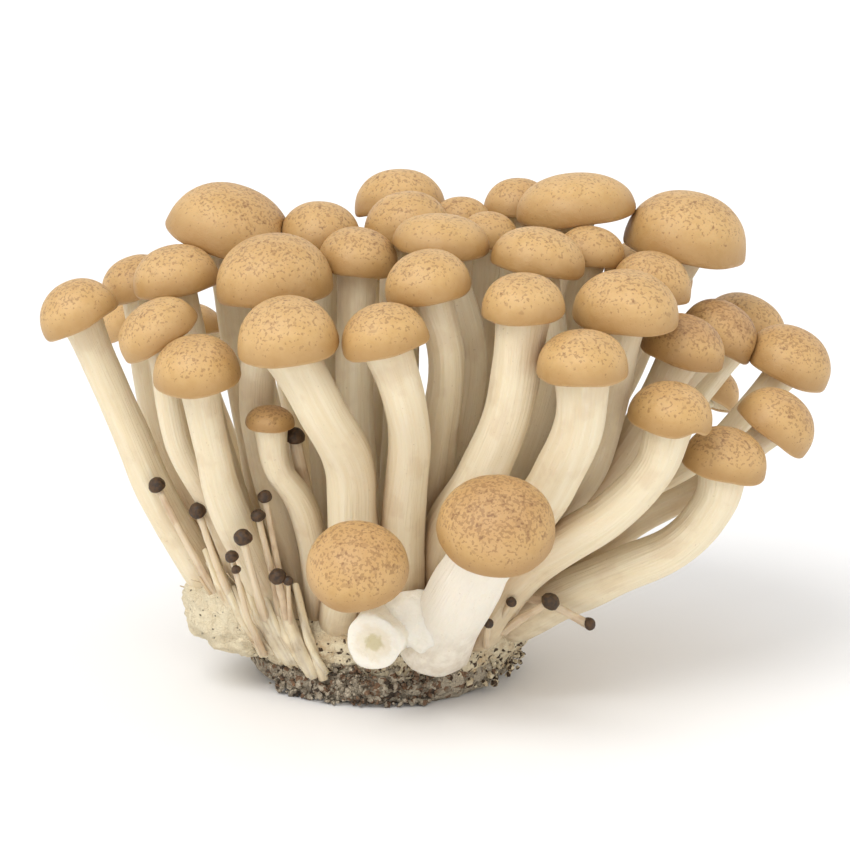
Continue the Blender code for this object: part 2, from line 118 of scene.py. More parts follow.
ROWS: dict[str, tuple[Mushroom, ...]] = {
    "low_front": (
        Mushroom(
            (-4, -44, 30.5), 8.1, 0.95, (-3, 37), 3.2, (-8, -15, 12.3),
            ((-6.5, -23, 20.5), (-5, -31, 24)), 0.5,
        ),
        Mushroom(
            (18, -46, 37.5), 9.2, 0.95, (4, 35), 5.7, (8, -20.5, 11.0),
            ((11.8, -29, 20),), 0.7, white=0.8,
        ),
    ),
    "front": (
        Mushroom(
            (-30, -27, 58), 7.3, 0.95, (-4, 8), 3.1, (-17, -13, 12.3),
            ((-25.5, -21, 34), (-28, -25, 45.5)),
        ),
        Mushroom(
            (-15, -33, 64.5), 8.3, 0.98, (-8, 6), 4.1, (-3, -14, 12.3),
            ((-5, -24.5, 33), (-5.5, -28, 44), (-10, -32, 54)),
        ),
        Mushroom(
            (0.5, -33, 65), 6.9, 0.95, (-12, 3), 3.6, (3, -15, 12.3),
            ((3.2, -24, 33.5), (4.4, -28.5, 46.5), (3.4, -32, 55.5)),
        ),
        Mushroom(
            (22.5, -29, 69.5), 6.9, 0.88, (-2, 3), 4.2, (7.5, -11, 12.3),
            ((11, -20.5, 31), (16, -26, 41.5), (20.5, -28.5, 54)),
        ),
        Mushroom(
            (32, -35, 61), 7.5, 0.88, (0, 3), 4.2, (14.5, -13, 12.3),
            ((23, -24, 32), (28, -30, 42), (31.5, -33.5, 51.5)),
        ),
        Mushroom(
            (46.5, -28, 51), 6.8, 0.95, (8, 5), 3.7, (15.5, -17, 12.3),
            ((23.5, -22, 24.5), (37, -27, 35), (44, -28, 43)), 0.3, (-55, 0.16),
        ),
        Mushroom(
            (56, -20, 41.5), 6.9, 0.92, (12, 8), 3.8, (21.5, -11, 12.3),
            ((37, -17, 21.5), (48.5, -19, 27.5), (54.5, -20, 35)), 0.4,
        ),
    ),
    "second": (
        Mushroom(
            (-50.5, -8, 63.5), 6.8, 1.0, (-25, 0), 3.2, (-26.5, -6, 12.3),
            ((-37, -7, 30), (-43.5, -8, 46)),
        ),
        Mushroom(
            (-36.5, -19, 63), 7.0, 0.86, (-33, 5), 2.5, (-21.5, -9.5, 12.3),
            ((-28, -13.5, 32), (-34, -16.5, 45)),
        ),
        Mushroom(
            (-18.5, -23.5, 49.5), 4.0, 0.72, (2, 5), 2.5, (-10, -13.5, 12.3),
            ((-13, -19.5, 33), (-17.5, -22.5, 42)), 0.9,
        ),
        Mushroom(
            (7.5, -23, 71.5), 7.1, 0.95, (-10, 2), 3.2, (3.5, -8, 12.3),
            ((7, -14, 31), (9.5, -19, 49), (10.2, -22, 61)),
        ),
        Mushroom(
            (39.5, -21, 66.5), 8.6, 0.93, (4, 3), 3.3, (17, -8.5, 12.3),
            ((27.5, -15.5, 31), (35, -19.5, 44)),
        ),
        Mushroom(
            (49, -15, 59), 7.0, 0.98, (15, 0), 3.3, (20, -6, 12.3),
            ((33.5, -13, 34), (41, -15, 44)), 0.85,
        ),
        Mushroom(
            (64.5, -12, 45.5), 7.0, 1.0, (38, 0), 2.4, (24.5, -5, 12.3),
            ((41, -10, 28), (54, -11.5, 36)), 0.45,
        ),
        Mushroom(
            (68, 2, 52.5), 7.8, 0.98, (25, 0), 2.7, (25, 0.5, 12.3),
            ((40, -1, 28.5), (55, 0.5, 38)), 0.4,
        ),
    ),
    "third": (
        Mushroom((-41.5, 4, 65.5), 6.5, 1.0, (-18, -5), 3.2, (-24, -1, 12.3), ((-33, 0, 31), (-39, 2, 46))),
        Mushroom((-34.5, -6, 69), 7.2, 0.93, (-8, 0), 2.8, (-18.5, -5, 12.3), ((-27, -6, 36),)),
        Mushroom(
            (-18, -14.5, 70), 9.7, 0.95, (-5, 2), 3.0, (-12.5, -8, 12.3),
            ((-19.5, -14, 40), (-21, -15, 54)), 0.35,
        ),
        Mushroom((-4.5, -7.5, 72.5), 6.8, 0.95, (8, 0), 3.2, (-3, -6, 12.3), ((-5, -8.5, 46),), 0.35),
        Mushroom((9.5, -8, 76), 8.1, 0.65, (4, 0), 3.0, (7, -3, 12.3), ((13, -9, 45), (14, -9.5, 60))),
        Mushroom(
            (25.5, -11, 73.5), 7.8, 0.78, (10, 0), 3.2, (12.5, -5, 12.3),
            ((23.5, -11.5, 42), (27.5, -12, 57)),
        ),
        Mushroom((44.5, -5.5, 68), 6.8, 0.95, (12, 0), 2.9, (19, -1.5, 12.3), ((34, -4.5, 42),), 0.4),
        Mushroom((56, 1, 58), 6.8, 1.0, (30, 0), 2.9, (21, 3, 12.3), ((36, 2, 34),), 0.8),
    ),
    "crown": (
        Mushroom((-27, 6.5, 73.5), 10.8, 0.95, (20, -3), 3.4, (-16, 0, 12.3), ((-23, 3.5, 45),), 0.35),
        Mushroom((-11, 4.5, 74), 7.1, 1.0, (5, -5), 2.9, (-8, -1.5, 12.3), ((-10.5, 2, 45),)),
        Mushroom((4, 6.5, 75), 7.5, 1.0, (-8, -5), 2.9, (1, 0, 12.3), ((2.5, 3.5, 45),)),
        Mushroom((17.5, 4, 74.5), 5.0, 1.0, (5, 0), 2.3, (10, 2.5, 12.3), ((15.5, 3.5, 45),)),
        Mushroom((34.5, -1, 72.5), 5.7, 0.95, (10, 0), 2.6, (15, 1, 12.3), ((26, 0, 42),)),
        Mushroom((51, 9, 72), 10.8, 0.93, (9, -3), 3.4, (18, 7, 12.3), ((36, 8, 42),)),
        Mushroom((2.5, 23, 76), 7.8, 0.95, (0, -10), 3.2, (0, 7, 12.3), ((1, 15, 45),)),
        Mushroom((13, 14, 75), 5.2, 1.0, (0, -5), 2.4, (6, 6, 12.3), ((10, 10.5, 45),)),
        Mushroom((23, 21, 76), 6.2, 1.0, (0, -8), 2.7, (10.5, 9, 12.3), ((18, 16, 45),)),
        Mushroom((32.5, 10.5, 78), 10.1, 0.68, (-5, -3), 3.3, (13.5, 5.5, 12.3), ((24.5, 9, 45),)),
    ),
    "back_upper": (
        Mushroom((-42, 18, 57), 7.5, 0.95, (-24, -8), 2.9, (-23, 5, 12.3), ((-33, 10.5, 34),)),
        Mushroom((-27, 25, 66), 8.2, 0.92, (-10, -14), 3.1, (-14, 7, 12.3), ((-21, 16, 40),)),
        Mushroom((-11.5, 20.5, 70), 7.6, 0.90, (-3, -10), 2.9, (-6.5, 6, 12.3), ((-9.5, 13.5, 44),)),
        Mushroom((14, 30, 67), 7.4, 0.92, (4, -16), 2.9, (5, 12.5, 12.3), ((10.5, 22, 42),)),
        Mushroom((31, 30, 66), 8.0, 0.90, (8, -14), 3.1, (13, 12, 12.3), ((23, 22, 40),)),
        Mushroom((46, 26, 63), 8.0, 0.92, (16, -12), 3.0, (18.5, 11, 12.3), ((33, 19, 38),)),
        Mushroom((62, 18, 55), 7.6, 0.95, (26, -8), 2.9, (22.5, 7, 12.3), ((42, 13, 31),)),
    ),
    "back_lower": (
        Mushroom((-36, 34, 50), 7.6, 0.92, (-20, -24), 2.9, (-18, 9.5, 12.3), ((-27.5, 21, 31),)),
        Mushroom((-19, 40, 54), 8.3, 0.90, (-8, -26), 3.1, (-10, 12, 12.3), ((-15, 27, 34),)),
        Mushroom((-2, 38, 60), 7.8, 0.92, (0, -22), 3.0, (-2, 13, 12.3), ((-2, 26, 38),)),
        Mushroom((12, 46, 50), 7.6, 0.94, (4, -30), 2.8, (4, 17, 12.3), ((8, 32, 31),)),
        Mushroom((28, 44, 53), 8.2, 0.90, (10, -27), 3.0, (11, 16, 12.3), ((20, 30, 33),)),
        Mushroom((45, 38, 50), 7.8, 0.92, (18, -24), 2.9, (17, 14.5, 12.3), ((31, 27, 31),)),
        Mushroom((56, 27, 42), 6.4, 0.95, (28, -20), 2.5, (22, 11.5, 12.3), ((40, 20, 26),)),
    ),
}

# Young ones with brown heads that never opened. The first five stand for solids of the frame.
PINS: tuple[Mushroom, ...] = (
    Mushroom((-38, -12.5, 36), 1.5, 1.0, (-25, 20), 0.65, (-26, -12, 12.3), ((-33, -13.5, 26),)),
    Mushroom((-31, -16, 32.5), 1.6, 1.0, (-25, 20), 0.65, (-24, -13.5, 12.3), ((-27.5, -16.5, 22),)),
    Mushroom((-23, -27, 31), 1.6, 1.0, (-15, 20), 0.7, (-19.5, -17, 12.3), ((-21, -23.5, 21),)),
    Mushroom((-17.5, -25, 23.8), 1.5, 1.0, (-15, 30), 0.7, (-16, -18, 12.3), ((-16.5, -22, 17.5),)),
    Mushroom((27.5, -23.5, 19), 1.6, 1.0, (35, 30), 0.7, (19.5, -19.5, 12.3), ((23, -22.5, 16),)),
    Mushroom((-19.5, -23.5, 37), 1.25, 1.0, (-10, 20), 0.55, (-16, -16.5, 11), ((-17.5, -21, 24),)),
    Mushroom((-20.6, -24.3, 34), 1.25, 1.0, (-10, 20), 0.55, (-17, -17, 11), ((-18.5, -21.5, 23),)),
    Mushroom((-25, -24.3, 27), 1.2, 1.0, (-15, 20), 0.5, (-20.5, -17.5, 8), ((-23, -21.5, 17),)),
    Mushroom((-24.3, -25, 25), 0.85, 1.0, (-15, 20), 0.4, (-20, -18, 8), ((-22.5, -22, 16),)),
    Mushroom((-15.8, -25.2, 23.2), 0.9, 1.0, (20, 30), 0.4, (-15.5, -18, 11), ((-15.6, -22, 16),)),
    Mushroom(
        (-14.7, -20.5, 46.5), 1.8, 0.9, (10, 10), 1.1, (-9.5, -13, 14),
        ((-13.4, -18, 36), (-11, -15.5, 26)),
    ),
    Mushroom((34, -21, 14.5), 1.2, 1.0, (70, 20), 0.8, (21, -18.5, 19), ((27, -20.5, 18),)),
    Mushroom((21, -25, 19.5), 0.9, 1.0, (20, 40), 0.5, (19, -19, 13), ((19.6, -22, 16),)),
    Mushroom((17.3, -27.5, 16.6), 0.85, 1.0, (10, 50), 0.5, (17, -20, 10), ((17, -24, 13),)),
)


# -------------------- lines, spaces and skins


class Line:
    """A smooth centre line through points, with its thickness along the way.

    Args:
        points: The points that it passes.
        radii: Its thickness as a radius, at even steps from its start to its end.
        samples: Short lengths in each span.
    """

    def __init__(self, points: list[Vector], radii: list[float], samples: int = 16) -> None:
        """Works out short lengths of the line."""
        self.knots = [2 * points[0] - points[1], *points, 2 * points[-1] - points[-2]]
        spans = len(points) - 1
        shares = np.linspace(0, spans, spans * samples + 1)
        self.points = np.array([self._on_curve(min(int(s), spans - 1), float(s)) for s in shares])
        steps = np.linalg.norm(np.diff(self.points, axis=0), axis=1)
        self.length = float(steps.sum())
        self.along = np.concatenate([[0.0], np.cumsum(steps)]) / self.length
        self.radii = radii

    def _on_curve(self, span: int, place: float) -> Vector:
        """The point at a place on one span of the curve, by Catmull and Rom's rule.

        Args:
            span: Which span.
            place: How far along all the spans, in spans.

        Returns:
            The point.
        """
        a, b, c, d = self.knots[span : span + 4]
        t = place - span
        bend = 2 * a - 5 * b + 4 * c - d
        twist = 3 * b - a - 3 * c + d
        return 0.5 * (2 * b + (c - a) * t + bend * t**2 + twist * t**3)

    def at(self, share: float) -> Vector:
        """The point at a share of the length, or straight on from its start below 0."""
        if share < 0:
            return self.at(0) + self.direction(0) * share * self.length
        return Vector([float(np.interp(share, self.along, self.points[:, k])) for k in range(3)])

    def direction(self, share: float, step: float = 0.03) -> Vector:
        """Which way the line runs there."""
        return (self.at(min(1.0, share + step)) - self.at(max(0.0, share - step))).normalized()

    def radius(self, share: float) -> float:
        """The thickness there, as a radius."""
        return float(np.interp(share, np.linspace(0, 1, len(self.radii)), self.radii))


class Space:
    """The space that one grown piece takes, as a depth: negative inside it and positive outside.

    Args:
        line: The stem's centre line.
        cap: The mushroom, if it has a cap.
        beads: How many points stand for the line.
    """

    UNDER = 0.22  # depth of the space under a cap's widest line, in cap radii

    def __init__(self, line: Line, cap: Mushroom | None = None, beads: int = 12) -> None:
        """Works out the beads and the box round them."""
        self.cap = cap
        shares = [float(s) for s in np.linspace(0, 1, beads)]
        self.beads = np.array([line.at(s) for s in shares])
        self.radii = np.array([line.radius(s) for s in shares])
        ends = [self.beads + self.radii[:, None], self.beads - self.radii[:, None]]
        if cap:
            self.centre, self.axis = np.array(cap.cap, float), np.array(cap.axis())
            ends += [self.centre[None] + cap.radius, self.centre[None] - cap.radius]
        self.low, self.high = np.vstack(ends).min(axis=0), np.vstack(ends).max(axis=0)

    def near(self, other: "Space") -> bool:
        """Whether the boxes round the two come within reach of one another."""
        return bool((self.low < other.high + 1).all() and (other.low < self.high + 1).all())

    def holds(self, points: np.ndarray, reach: float = 1.0) -> np.ndarray:
        """Which of the points are in the box round it, or within reach of the box."""
        return ((points > self.low - reach) & (points < self.high + reach)).all(axis=1)

    def depth(self, points: np.ndarray) -> np.ndarray:
        """The depth of each point, in millimetres."""
        stem = self._stem_depth(points)
        return np.minimum(stem, self._cap_depth(points)) if self.cap else stem

    def _cap_depth(self, points: np.ndarray) -> np.ndarray:
        """Depth against the cap, taken as two half ellipsoids.

        Args:
            points: The points, one in each row.

        Returns:
            A depth for each, in millimetres.
        """
        radius = self.cap.radius
        away = points - self.centre
        height = away @ self.axis
        tall = np.where(height > 0, radius * self.cap.dome, radius * self.UNDER)
        out = np.linalg.norm(away - height[:, None] * self.axis, axis=1)
        reach = np.hypot(out / radius, height / tall) + 1e-6
        return np.hypot(out, height) * (1 - 1 / reach) - radius * self.UNDER * (reach < 1e-3)

    def _stem_depth(self, points: np.ndarray) -> np.ndarray:
        """Depth against the stem, taken as short tapered lengths.

        Args:
            points: The points, one in each row.

        Returns:
            A depth for each, in millimetres.
        """
        depth = np.full(len(points), np.inf)
        for a, b, thick, thin in zip(self.beads, self.beads[1:], self.radii, self.radii[1:]):
            share = np.clip((points - a) @ (b - a) / ((b - a) @ (b - a)), 0, 1)
            away = np.linalg.norm(points - a - share[:, None] * (b - a), axis=1)
            depth = np.minimum(depth, away - thick - share * (thin - thick))
        return depth


Finishes = list[Material]
Point = tuple[float, float, float]
Ring = list[bmesh.types.BMVert]


class Skin:
    """A mesh grown ring by ring, where each corner knows the point that it hangs on."""

    SHADE_FADE = 2.3  # how far from a neighbour, in millimetres, the painted contact shade fades

    def __init__(self) -> None:
        """Starts with nothing grown."""
        self.bm = bmesh.new()
        self.local = self.bm.verts.layers.float_vector.new("local")
        self.contact_shade = self.bm.verts.layers.float.new("contact_shade")
        self.anchors: dict[bmesh.types.BMVert, Vector] = {}
        self.angles: dict[bmesh.types.BMVert, float] = {}
        self.finish = 0
        self._rim: list[bmesh.types.BMEdge] = []
        self._run = UP
        self._face = Matrix.Identity(3)
        self._radius = 1.0

    def ring(self, middle: Vector, run: Vector, radius: float, sides: int, filled: bool = True) -> Ring:
        """Grows the rim to a new ring, or begins a new shell if there is no rim.

        Args:
            middle: The ring's middle.
            run: The way that the skin runs there.
            radius: The ring's radius.
            sides: How many corners the first ring has.
            filled: Whether a facet closes the first ring.

        Returns:
            The ring's corners.
        """
        if self._rim:
            return self.grow(middle, run, radius)
        return self.start(middle, run, radius, sides, filled)

    def start(self, middle: Vector, run: Vector, radius: float, sides: int, filled: bool) -> Ring:
        """Begins a new skin with a flat ring.

        Args:
            middle: The ring's middle.
            run: The way that the skin will grow.
            radius: The ring's radius.
            sides: How many corners it has.
            filled: Whether a facet closes it.

        Returns:
            The ring's corners, in order.
        """
        self._face = UP.rotation_difference(run).to_matrix()
        place = Matrix.Translation(middle) @ self._face.to_4x4()
        made = bmesh.ops.create_circle(self.bm, cap_ends=filled, segments=sides, radius=radius, matrix=place)
        ring = made["verts"]
        self._rim = list({edge for v in ring for edge in v.link_edges})
        self._own(ring, middle)
        for v in ring:
            flat = self._face.transposed() @ (v.co - middle)
            self.angles[v] = math.atan2(flat.y, flat.x) % math.tau
        for face in {face for v in ring for face in v.link_faces}:
            face.material_index = self.finish
        self._run, self._radius = run, radius
        return ring

    def grow(self, middle: Vector, run: Vector, radius: float, anchor: Vector | None = None) -> Ring:
        """Extrudes the rim to a new ring, and returns the ring's corners.

        Args:
            middle: The new ring's middle.
            run: The way that the skin runs there.
            radius: The new ring's radius.
            anchor: The point that its corners hang on, if that isn't its middle.

        Returns:
            The new ring's corners.
        """
        grown = bmesh.ops.extrude_edge_only(self.bm, edges=self._rim)["geom"]
        ring = [g for g in grown if isinstance(g, bmesh.types.BMVert)]
        corners = set(ring)
        for v in ring:
            below = next(e.other_vert(v) for e in v.link_edges if e.other_vert(v) not in corners)
            self.angles[v] = self.angles[below]
        self._rim = [g for g in grown if isinstance(g, bmesh.types.BMEdge) and set(g.verts) <= corners]
        for face in (g for g in grown if isinstance(g, bmesh.types.BMFace)):
            face.material_index = self.finish
        self._face = self._run.rotation_difference(run).to_matrix() @ self._face
        for v in ring:
            angle = self.angles[v]
            v.co = middle + self._face @ Vector((radius * math.cos(angle), radius * math.sin(angle), 0))
        self._own(ring, anchor or middle)
        self._run, self._radius = run, radius
        return ring

    def begin(self, finish: Finish) -> None:
        """Leaves the last ring as it is, and chooses the finish of the next shell."""
        self.finish, self._rim = finish, []

    def close(self, tip: Vector, anchor: Vector) -> bmesh.types.BMVert:
        """Draws the rim together at a tip, and returns it.

        Args:
            tip: Where the rim is drawn to.
            anchor: The point that the tip hangs on.

        Returns:
            The tip's corner.
        """
        ring = self.grow(tip, self._run, self._radius / 2, anchor)
        bmesh.ops.pointmerge(self.bm, verts=ring, merge_co=tip)
        for v in [v for v in self.anchors if not v.is_valid]:
            del self.anchors[v]
        last = next(v for v in reversed(list(self.bm.verts)) if (v.co - tip).length < 1e-5)
        self.anchors[last] = anchor
        self._rim = []
        return last

    def _own(self, ring: Iterable[bmesh.types.BMVert], anchor: Vector) -> None:
        """Hangs corners on a point."""
        for v in ring:
            self.anchors[v] = anchor

    def place(self, ring: Iterable[bmesh.types.BMVert], out: float, height: float) -> None:
        """Stores each corner's place on its own piece: out from its line, round it, and along it.

        Args:
            ring: The corners.
            out: How far out they are.
            height: How far along they are.
        """
        for v in ring:
            angle = self.angles[v]
            v[self.local] = Vector((out * math.cos(angle), out * math.sin(angle), height))

    def shape(
        self,
        ring: Iterable[bmesh.types.BMVert],
        middle: Vector,
        swell: Callable[[Vector, float], float],
        lift: Callable[[float], float] | None = None,
        run: Vector = UP,
    ) -> None:
        """Makes a ring uneven.

        Args:
            ring: Its corners.
            middle: Its middle.
            swell: How far a corner moves out, as a share, from its point and its angle.
            lift: How far a corner moves along, in millimetres, from its angle.
            run: The way along.
        """
        for v in ring:
            angle = self.angles[v]
            v.co = middle + (v.co - middle) * (1 + swell(v.co, angle))
            if lift:
                v.co += run * lift(angle)

    def press(self, own: Space, others: list[Space], gap: float, steps: int = 12) -> None:
        """Draws corners in towards their anchors where they would come into a neighbour's space, and stores
        each corner's nearness to a neighbour as painted contact shade for the finishes.

        Args:
            own: The space of the piece itself.
            others: The spaces of its neighbours.
            gap: The clearance to leave, in millimetres.
            steps: How many times the way in is halved.
        """
        verts = list(self.anchors)
        points = np.array([v.co for v in verts])
        anchors = np.array([self.anchors[v] for v in verts])
        crowded = self._crowded(points, own, others, gap)
        index = np.flatnonzero(crowded)
        low, high = np.zeros(len(index)), np.ones(len(index))
        for _ in range(steps):
            share = (low + high) / 2
            at = anchors[index] + (points[index] - anchors[index]) * share[:, None]
            bad = self._crowded(at, own, others, gap)
            low, high = np.where(bad, low, share), np.where(bad, share, high)
        points[index] = anchors[index] + (points[index] - anchors[index]) * low[:, None]
        for i in index:
            verts[i].co = points[i]
        # Painted contact shade: how near each corner comes to a neighbour, for the finishes to darken.
        away = np.full(len(points), 9.0)
        for other in others:
            close = np.flatnonzero(other.holds(points, 4.0))
            if len(close):
                away[close] = np.minimum(away[close], other.depth(points[close]))
        for v, distance in zip(verts, away):
            v[self.contact_shade] = math.exp(-max(0.0, float(distance)) / self.SHADE_FADE)

    @staticmethod
    def _crowded(points: np.ndarray, own: Space, others: list[Space], gap: float) -> np.ndarray:
        """Which points are nearer a neighbour's space than their own.

        Args:
            points: The points, one in each row.
            own: The space of the piece itself.
            others: The spaces of its neighbours.
            gap: The clearance to leave, in millimetres.

        Returns:
            Whether each point is crowded.
        """
        bad = np.zeros(len(points), bool)
        for other in others:
            close = np.flatnonzero(other.holds(points) & ~bad)
            if len(close):
                bad[close] = other.depth(points[close]) - own.depth(points[close]) < gap
        return bad

    def piece(self, name: str, finishes: Finishes, facts: dict[str, float]) -> bpy.types.Object:
        """Makes the finished object, in metres.

        Args:
            name: The object's name.
            finishes: Its materials, in the order of the facets' finishes.
            facts: Numbers that are the same all over the piece, stored as attributes for its materials.

        Returns:
            The object, in the scene.
        """
        bmesh.ops.recalc_face_normals(self.bm, faces=self.bm.faces)
        bmesh.ops.scale(self.bm, vec=(MM, MM, MM), verts=self.bm.verts)
        for face in self.bm.faces:
            face.smooth = True
        mesh = bpy.data.meshes.new(name)
        self.bm.to_mesh(mesh)
        self.bm.free()
        for finish in finishes:
            mesh.materials.append(finish)
        for fact, value in facts.items():
            stored = mesh.attributes.new(fact, "FLOAT", "POINT")
            stored.data.foreach_set("value", np.full(len(mesh.vertices), value, np.float32))
        obj = bpy.data.objects.new(name, mesh)
        bpy.context.scene.collection.objects.link(obj)
        return obj


def dress(piece: bpy.types.Object, slot: Slot, *nodes: str) -> None:
    """Fixes a finished piece to the frame.

    Args:
        piece: The finished piece.
        slot: The record's material slot that it belongs to. Not used.
        *nodes: The frame's solids that it stands for.
    """
    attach(piece, BODY)
    if nodes:
        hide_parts(*nodes)
    LOG.info("%s: %d facets", piece.name, len(piece.data.polygons))


def lump(point: Vector, size: float, seed: float) -> float:
    """Smooth noise from -1 to 1 at a point, with bumps of a size in millimetres."""
    return noise.noise(point / size + Vector((seed * 7.3, seed * 3.1, seed * 5.7)))


# -------------------- growing mushrooms


@dataclass
class Grower:
    """Grows one mushroom at a time: its stem, its gills and its cap."""

    cap_sides: int = 60
    dome_rings: int = 20
    gills: int = 40
    stem_sides: int = 28
    stem_rings: int = 44
    clearance: float = 0.05
    stem_dents: float = 0.075  # this and the next six are shares of the radius
    ridges: float = 0.05
    stem_grain: float = 0.022
    flare: float = 0.16  # how much wider a stem is where it meets the gills
    cap_dents: float = 0.022
    cap_grain: float = 0.006
    out_of_round: float = 0.022
    flared: float = 0.14  # the share of a stem's length that flares
    dome_power: float = 2 / 2.2  # makes a dome a little fuller than a half ball
    gill_root: float = -0.03  # where the gills meet the stem, in cap radii from the widest line
    stem_widths: tuple[float, ...] = (1.14, 1.04, 1.0, 0.94, 0.96)  # from foot to cap, against the middle
    sink: float = 0.05  # how far a stem goes on below its foot, as a share of its length
    toe: tuple[float, ...] = (0.66, 0.86, 0.96)  # how the first rings are drawn in to round the foot off

    # Outlines as (share of the cap's radius out, share of it up), from the stem outwards
    ceiling: tuple[tuple[float, float], ...] = ((0.25, 0.12), (0.5, 0.10), (0.70, 0.07), (0.82, 0.02))
    lip: tuple[tuple[float, float], ...] = (
        (0.86, -0.045), (0.878, -0.072), (0.90, -0.090), (0.925, -0.097), (0.95, -0.092), (0.97, -0.076),
        (0.985, -0.052), (0.995, -0.026),
    )
    gill_edge: tuple[tuple[float, float], ...] = (
        (0.34, -0.025), (0.46, -0.045), (0.58, -0.058), (0.70, -0.064), (0.79, -0.062), (0.865, -0.05),
    )
    gill_depths: tuple[float, ...] = (0.03, 0.07, 0.09, 0.085, 0.06, 0.01)

    def line(self, mushroom: Mushroom) -> Line:
        """The centre line of a stem, from its foot to its gills.

        Args:
            mushroom: The mushroom.

        Returns:
            The line, with the stem's thickness along it.
        """
        neck = mushroom.middle() + mushroom.axis() * mushroom.radius * self.gill_root
        points = [Vector(p) for p in (mushroom.foot, *mushroom.bends)] + [neck]
        return Line(points, [mushroom.stem * w for w in self.stem_widths])

    def grow(self, mushroom: Mushroom, line: Line, seed: float) -> Skin:
        """A whole mushroom.

        Args:
            mushroom: Its sizes and place.
            line: The centre line of its stem.
            seed: What makes it differ from the others.

        Returns:
            Its skin, in three finishes.
        """
        skin = Skin()
        self._stem(skin, mushroom, line, seed)
        self._gills(skin, mushroom, line, seed)
        self._cap(skin, mushroom, seed)
        return skin

    def _stem(self, skin: Skin, mushroom: Mushroom, line: Line, seed: float) -> None:
        """The stem: fibrous, a little lumpy, and wider again where it meets the cap.

        Args:
            skin: The mushroom's skin.
            mushroom: Its sizes and place.
            line: The centre line of its stem.
            seed: What makes it differ from the others.
        """
        skin.begin(Finish.STEM)
        top = 1 + 0.06 * mushroom.radius / line.length

        def swell(point: Vector, angle: float) -> float:
            """How far a corner of the stem stands out."""
            along = point.z / 14
            ridge = noise.noise(Vector((2.2 * math.cos(angle), 2.2 * math.sin(angle), along + seed * 9)))
            fine = noise.noise(Vector((6 * math.cos(angle), 6 * math.sin(angle), along + seed * 4)))
            return self.stem_dents * lump(point, 8.5, seed) + self.ridges * ridge + self.stem_grain * fine

        for k in range(self.stem_rings + 1):
            share = -self.sink + (top + self.sink) * k / self.stem_rings
            run = line.direction(min(1.0, max(0.0, share)))
            flare = self.flare * max(0.0, (share - 1 + self.flared) / self.flared) ** 2
            radius = line.radius(share) * (1 + flare) * (self.toe[k] if k < len(self.toe) else 1.0)
            middle = line.at(share)
            if share > 1:
                middle = line.at(1.0) + mushroom.axis() * (share - 1) * line.length
            ring = skin.ring(middle, run, radius, self.stem_sides)
            skin.shape(ring, middle, swell)
            skin.place(ring, radius, share * line.length)
        tip = skin.close(middle + mushroom.axis() * 0.01, middle)
        tip[skin.local] = Vector((0, 0, line.length))

    def _gills(self, skin: Skin, mushroom: Mushroom, line: Line, seed: float) -> None:
        """The gills: one pleated sheet that hangs between the stem and the cap's lip.

        Args:
            skin: The mushroom's skin.
            mushroom: Its sizes and place.
            line: The centre line of its stem.
            seed: What makes it differ from the others.
        """
        skin.begin(Finish.GILLS)
        axis, middle, radius = mushroom.axis(), mushroom.middle(), mushroom.radius
        sides = self.gills * 4
        inner = min(0.9 * line.radius(1.0) / radius, 0.44)
        for k, ((out, height), depth) in enumerate(zip(self.gill_edge, self.gill_depths)):
            out = max(out, inner + 0.03 * k)
            place = middle + axis * radius * height
            ring = skin.ring(place, axis, radius * out, sides, False)

            def lift(angle: float, depth: float = depth) -> float:
                """How far a gill's corner rises."""
                pleat = round(angle / math.tau * sides) % 4
                return radius * (depth * (pleat > 1) + self._wave(mushroom, angle, seed) * out)

            skin.shape(ring, place, lambda point, angle: self._lobes(angle, seed), lift, axis)
            skin.place(ring, out, depth)
            skin.anchors.update({v: middle for v in ring})

    def _cap(self, skin: Skin, mushroom: Mushroom, seed: float) -> None:
        """The cap: a full dome with its rim rolled in, closed above the gills.

        Args:
            skin: The mushroom's skin.
            mushroom: Its sizes and place.
            seed: What makes it differ from the others.
        """
        skin.begin(Finish.CAP)
        axis, middle, radius = mushroom.axis(), mushroom.middle(), mushroom.radius
        outline = list(self.ceiling) + list(self.lip)
        for k in range(self.dome_rings):
            turn = math.pi / 2 * k / self.dome_rings
            power = self.dome_power
            outline.append((math.cos(turn) ** power, mushroom.dome * math.sin(turn) ** power))

        def swell(point: Vector, angle: float) -> float:
            """How far a corner of the cap stands out."""
            broad = self.cap_dents * lump(point, radius * 0.8, seed)
            return self._lobes(angle, seed) + broad + self.cap_grain * lump(point, 1.6, seed)

        for out, height in outline:
            place = middle + axis * radius * height
            ring = skin.ring(place, axis, radius * out, self.cap_sides)
            low = max(0.0, min(1.0, (0.15 - height) / 0.2)) * out

            def lift(angle: float, low: float = low) -> float:
                """How far the rim's corner rises."""
                return radius * self._wave(mushroom, angle, seed) * low

            skin.shape(ring, place, swell, lift, axis)
            skin.place(ring, out, height)
            skin.anchors.update({v: middle for v in ring})
        tip = skin.close(middle + axis * radius * mushroom.dome * 1.002, middle)
        tip[skin.local] = Vector((0, 0, mushroom.dome))

    def _lobes(self, angle: float, seed: float) -> float:
        """How far out of round a cap is at an angle."""
        turn = seed * 40
        return self.out_of_round * math.cos(2 * angle + turn) + 0.014 * math.cos(3 * angle + turn * 1.7)

    @staticmethod
    def _wave(mushroom: Mushroom, angle: float, seed: float) -> float:
        """How far the rim rises at an angle, in cap radii.

        Args:
            mushroom: The mushroom, for its curl.
            angle: The angle, in radians.
            seed: What makes it differ from the others.

        Returns:
            The rise.
        """
        turn = seed * 57
        wave = 0.022 * math.cos(2 * angle + turn) + 0.012 * math.cos(5 * angle + turn * 1.3)
        where, height = mushroom.curl
        away = math.remainder(angle - math.radians(where), math.tau)
        return wave + height * math.exp(-((away / 0.3) ** 2))


